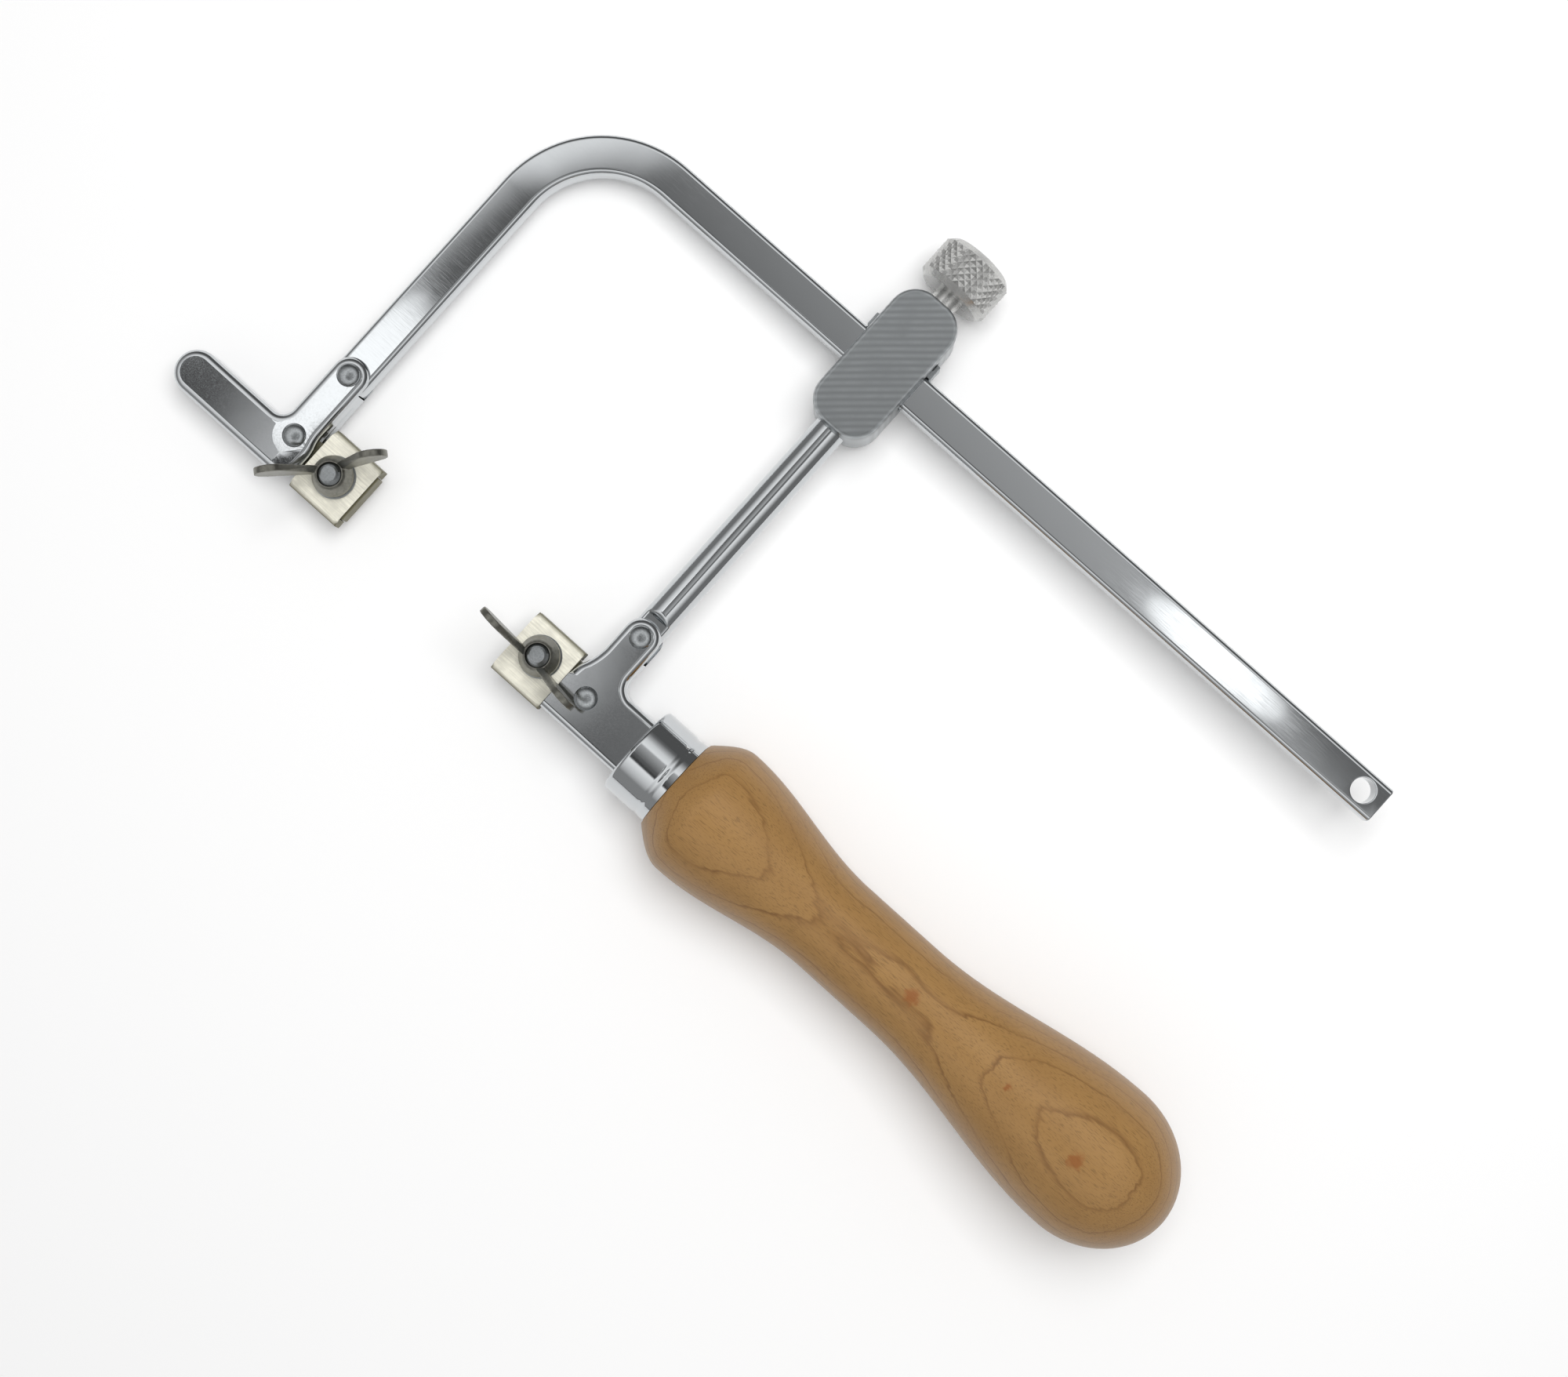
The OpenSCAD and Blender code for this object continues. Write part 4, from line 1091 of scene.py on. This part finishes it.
class FRETSAW_OT_wing_nuts(bpy.types.Operator):
    """Cast the wing nuts: a bored body and two wings that flow into it"""

    bl_idname = "fret_saw.wing_nuts"
    bl_label = "Wing nuts"

    def execute(self, context):
        sizes, colours = settings(context)
        foot_r, top_r = sizes.nut_foot_d / 2, sizes.nut_top_d / 2
        foot_h, top_edge = 1.2 * MM, 0.4 * MM
        bore = sizes.stud_d / 2 + NUT_GAP
        for side, angle in (("upper", sizes.upper_wing), ("lower", sizes.lower_wing)):
            stud = STUDS[side]
            low, high = BOX[f"{side}_wing_nut"]
            top = low.z + sizes.nut_h
            bm = turned([(low.z, bore), (low.z, foot_r), (low.z + foot_h, foot_r), (top - top_edge, top_r),
                         (top, top_r - top_edge), (top, bore), (low.z, bore)], "Z", stud, 64)
            for hand in (-1, 1):
                self.wing(bm, sizes, stud, low.z, high.z, bore, hand)
            bmesh.ops.rotate(bm, verts=bm.verts, cent=stud, matrix=Matrix.Rotation(angle, 3, "Z"))
            piece = finish_piece(bm, f"{side}_cast_wing_nut", colours, f"{side}_nut", "wing_steel",
                                 f"{side}_wing_nut", smooth_angle=60, flat_faces=False)
            casting = piece.modifiers.new("One casting", "REMESH")
            casting.mode = "VOXEL"
            casting.voxel_size = 0.14 * MM
            casting.use_smooth_shade = True
            blend = piece.modifiers.new("Soft corners", "SMOOTH")
            blend.factor = 0.5
            blend.iterations = 5
        return {"FINISHED"}

    @staticmethod
    def wing(bm, sizes, stud, base, tip_z, bore, hand):
        """One wing: the hull of its round tip and of its root, which clears the bore."""
        tip_r = sizes.wing_tip_r
        clear = bore + NUT_GAP
        root_low, root_high = base + 1.0 * MM, base + sizes.nut_h - 0.5 * MM
        tip = stud + Vector((hand * (sizes.wing_span / 2 - tip_r), sizes.wing_offset, tip_z - tip_r))
        upright = Matrix.Translation(tip) @ Matrix.Rotation(TURN / 4, 4, "X")
        verts = list(bmesh.ops.create_cone(bm, cap_ends=True, segments=32, radius1=tip_r, radius2=tip_r,
                                           depth=sizes.wing_t, matrix=upright)["verts"])
        for face in (-1, 1):
            y = sizes.wing_offset + face * sizes.wing_t / 2
            x = hand * math.sqrt(max(clear ** 2 - y ** 2, 0.0))
            verts += [bm.verts.new((stud.x + x, stud.y + y, z)) for z in (root_low, root_high)]
        hull = bmesh.ops.convex_hull(bm, input=verts)
        loose = picked(hull["geom_interior"] + hull["geom_unused"], VERT)
        bmesh.ops.delete(bm, geom=loose, context="VERTS")


# Stage

def camera_axes(stage):
    """Right, top and towards-the-camera directions of the picture."""
    towards = Vector(stage.tilt).normalized()
    right = Vector((math.cos(stage.turn), math.sin(stage.turn), 0))
    right = (right - right.dot(towards) * towards).normalized()
    return right, towards.cross(right), towards


def studio_world(stage):
    """White for the camera, an even dome for matt surfaces, and for gloss a studio ceiling: a dim opening
    over the table inside a bright tent that falls to grey at its foot, with two small lamps and a glow."""
    # Changes of light across the ceiling, in slopes from overhead: from, to, level at both
    dim = (-0.17, 0.13, 0.145, 0.55)
    right_corner = (0.17, 0.23, 1.0, 0.35)
    left_corner = (-0.27, -0.21, 0.5, 1.0)
    opening_edge = (0.35, 0.46, 0.0, 1.0, SMOOTH)
    # Changes of light round the tent: by height, 0 at the table and 1 overhead, and by reach to the lit side
    wall_rise = (0.5, 0.92, 0.30, 1.2)
    side_fade = (0.6, 0.8)
    lit_side = (-0.5, 0.3, 0.4, 1.1)
    below = 0.15
    least_rise = 0.05
    # Two lamps and a glow: place on the ceiling, radius and soft edge, all in slopes, and strength
    lamps = (((0.163, 0.094, 0), 0.043, 0.012, 2.0), ((-0.270, 0.235, 0), 0.056, 0.008, 1.7),
             ((-0.185, 0.105, 0), 0.052, 0.032, 0.82))

    world = bpy.data.worlds.new("Studio tent")
    bpy.context.scene.world = world
    world.use_nodes = True
    tree = world.node_tree
    ray = add(tree, "ShaderNodeTexCoord").outputs["Generated"]
    right, top, towards = camera_axes(stage)
    across, up, height = [measured(tree, "DOT_PRODUCT", ray, axis) for axis in (right, top, towards)]
    rise = reckoned(tree, "MAXIMUM", height, least_rise)
    slope = reckoned(tree, "DIVIDE", across, rise)
    ceiling = add(tree, "ShaderNodeCombineXYZ", {0: slope, 1: reckoned(tree, "DIVIDE", up, rise)}).outputs[0]
    opening = ranged(tree, slope, *dim)
    for corner in (right_corner, left_corner):
        opening = reckoned(tree, "MULTIPLY", opening, ranged(tree, slope, *corner))
    # The tent's foot is brighter on one side
    lit_from = -(right + top).normalized()
    bias = ranged(tree, measured(tree, "DOT_PRODUCT", ray, lit_from), *lit_side)
    bias = blended(tree, ranged(tree, height, *side_fade), bias, 1.0)
    wall = reckoned(tree, "MULTIPLY", ranged(tree, height, *wall_rise), bias)
    edge = ranged(tree, measured(tree, "LENGTH", ceiling), *opening_edge)
    gloss = blended(tree, edge, opening, wall)
    for spot, radius, soft, strength in lamps:
        away = measured(tree, "DISTANCE", ceiling, spot)
        lamp = ranged(tree, away, radius - soft, radius + soft, strength, 0.0, SMOOTH)
        gloss = reckoned(tree, "MAXIMUM", gloss, lamp)
    gloss = blended(tree, reckoned(tree, "GREATER_THAN", height, 0.0), below, gloss)
    path = add(tree, "ShaderNodeLightPath").outputs
    shown = blended(tree, path["Is Glossy Ray"], stage.dome, gloss)
    for kind in ("Is Camera Ray", "Is Transmission Ray"):
        shown = blended(tree, path[kind], shown, 1.0)
    sky = add(tree, "ShaderNodeBackground", {"Color": (1, 1, 1, 1), "Strength": shown})
    tree.links.new(sky.outputs[0], tree.nodes["World Output"].inputs["Surface"])


def matt_table(colours):
    """Matt white laminate: it takes a soft shadow, and looks white where nothing shades it."""
    material, tree, shader, _ = start_material("Matt white laminate")
    lift = 0.10
    path = add(tree, "ShaderNodeLightPath").outputs
    seen = reckoned(tree, "ADD", path["Is Camera Ray"], path["Is Glossy Ray"])
    seen = reckoned(tree, "ADD", seen, path["Is Transmission Ray"])
    fill(tree, shader, {"Base Color": colours.table, "Roughness": 0.9, "Specular IOR Level": 0.0,
                        "Emission Color": (1, 1, 1, 1),
                        "Emission Strength": reckoned(tree, "MULTIPLY", seen, lift)})
    return material


class FRETSAW_OT_stage(bpy.types.Operator):
    """Lay the table, hang the light and set up the camera"""

    bl_idname = "fret_saw.stage"
    bl_label = "Table, light and camera"

    def execute(self, context):
        scene = context.scene
        stage = scene.fret_saw_stage
        scene.view_settings.view_transform = "Standard"
        studio_world(stage)
        self.lay_table(scene, stage.table_slope)
        right, top, towards = camera_axes(stage)
        turn = Matrix((right, top, towards)).transposed()
        aim = Vector(stage.aim)

        box = bpy.data.lights.new("soft_box", "AREA")
        box.shape = "SQUARE"
        box.size = stage.box_side
        box.energy = stage.key
        lamp = bpy.data.objects.new("soft_box", box)
        lamp.location = aim + turn @ Vector(stage.box_place)
        lamp.rotation_euler = (aim - lamp.location).to_track_quat("-Z", "Y").to_euler()
        lamp.visible_camera = False
        lamp.visible_glossy = False
        scene.collection.objects.link(lamp)

        lens = bpy.data.cameras.new("camera")
        lens.sensor_fit = "HORIZONTAL"
        lens.sensor_width = 36.0
        lens.lens = stage.lens
        lens.clip_start = 10 * MM
        camera = bpy.data.objects.new("camera", lens)
        camera.matrix_world = Matrix.Translation(aim + towards * stage.camera_height) @ turn.to_4x4()
        scene.collection.objects.link(camera)
        scene.camera = camera
        return {"FINISHED"}

    @staticmethod
    def lay_table(scene, slope):
        """Tilts the table to the saw, which rests on the handle's bulb and on the front of the frame."""
        half_side = 400 * MM
        bulb = Vector((95 * MM, 0.0, BOX["handle"][0].z))
        bm = bmesh.new()
        bmesh.ops.create_grid(bm, x_segments=1, y_segments=1, size=half_side)
        for vert in bm.verts:
            vert.co.z = bulb.z + slope[0] * (vert.co.x - bulb.x) + slope[1] * vert.co.y
        mesh = bpy.data.meshes.new("table")
        bm.to_mesh(mesh)
        bm.free()
        mesh.materials.append(matt_table(scene.fret_saw_colours))
        table = bpy.data.objects.new("table", mesh)
        scene.collection.objects.link(table)


PIECE_OPERATORS = (FRETSAW_OT_handle, FRETSAW_OT_ferrule, FRETSAW_OT_bow, FRETSAW_OT_bracket,
                   FRETSAW_OT_lever, FRETSAW_OT_rivets, FRETSAW_OT_post, FRETSAW_OT_block,
                   FRETSAW_OT_thumb_screw, FRETSAW_OT_shoe, FRETSAW_OT_jaws, FRETSAW_OT_studs,
                   FRETSAW_OT_wing_nuts, FRETSAW_OT_stage)


class FRETSAW_PT_panel(bpy.types.Panel):
    """Lists the steps that build the fret saw frame"""

    bl_idname = "FRETSAW_PT_panel"
    bl_label = "Fret Saw Frame"
    bl_space_type = "VIEW_3D"
    bl_region_type = "UI"
    bl_category = "Fret Saw"

    def draw(self, context):
        column = self.layout.column(align=True)
        for operator in PIECE_OPERATORS:
            column.operator(operator.bl_idname)


GROUPS = {"fret_saw_sizes": FretSawSizes, "fret_saw_colours": FretSawColours, "fret_saw_stage": FretSawStage}
CLASSES = (*GROUPS.values(), *PIECE_OPERATORS, FRETSAW_PT_panel)


def register():
    for cls in CLASSES:
        bpy.utils.register_class(cls)
    for name, group in GROUPS.items():
        setattr(bpy.types.Scene, name, bpy.props.PointerProperty(type=group))


def unregister():
    for name in GROUPS:
        delattr(bpy.types.Scene, name)
    for cls in reversed(CLASSES):
        bpy.utils.unregister_class(cls)


def main():
    register()
    for operator in PIECE_OPERATORS:
        group, name = operator.bl_idname.split(".")
        getattr(getattr(bpy.ops, group), name)()


if __name__ == "__main__":
    main()
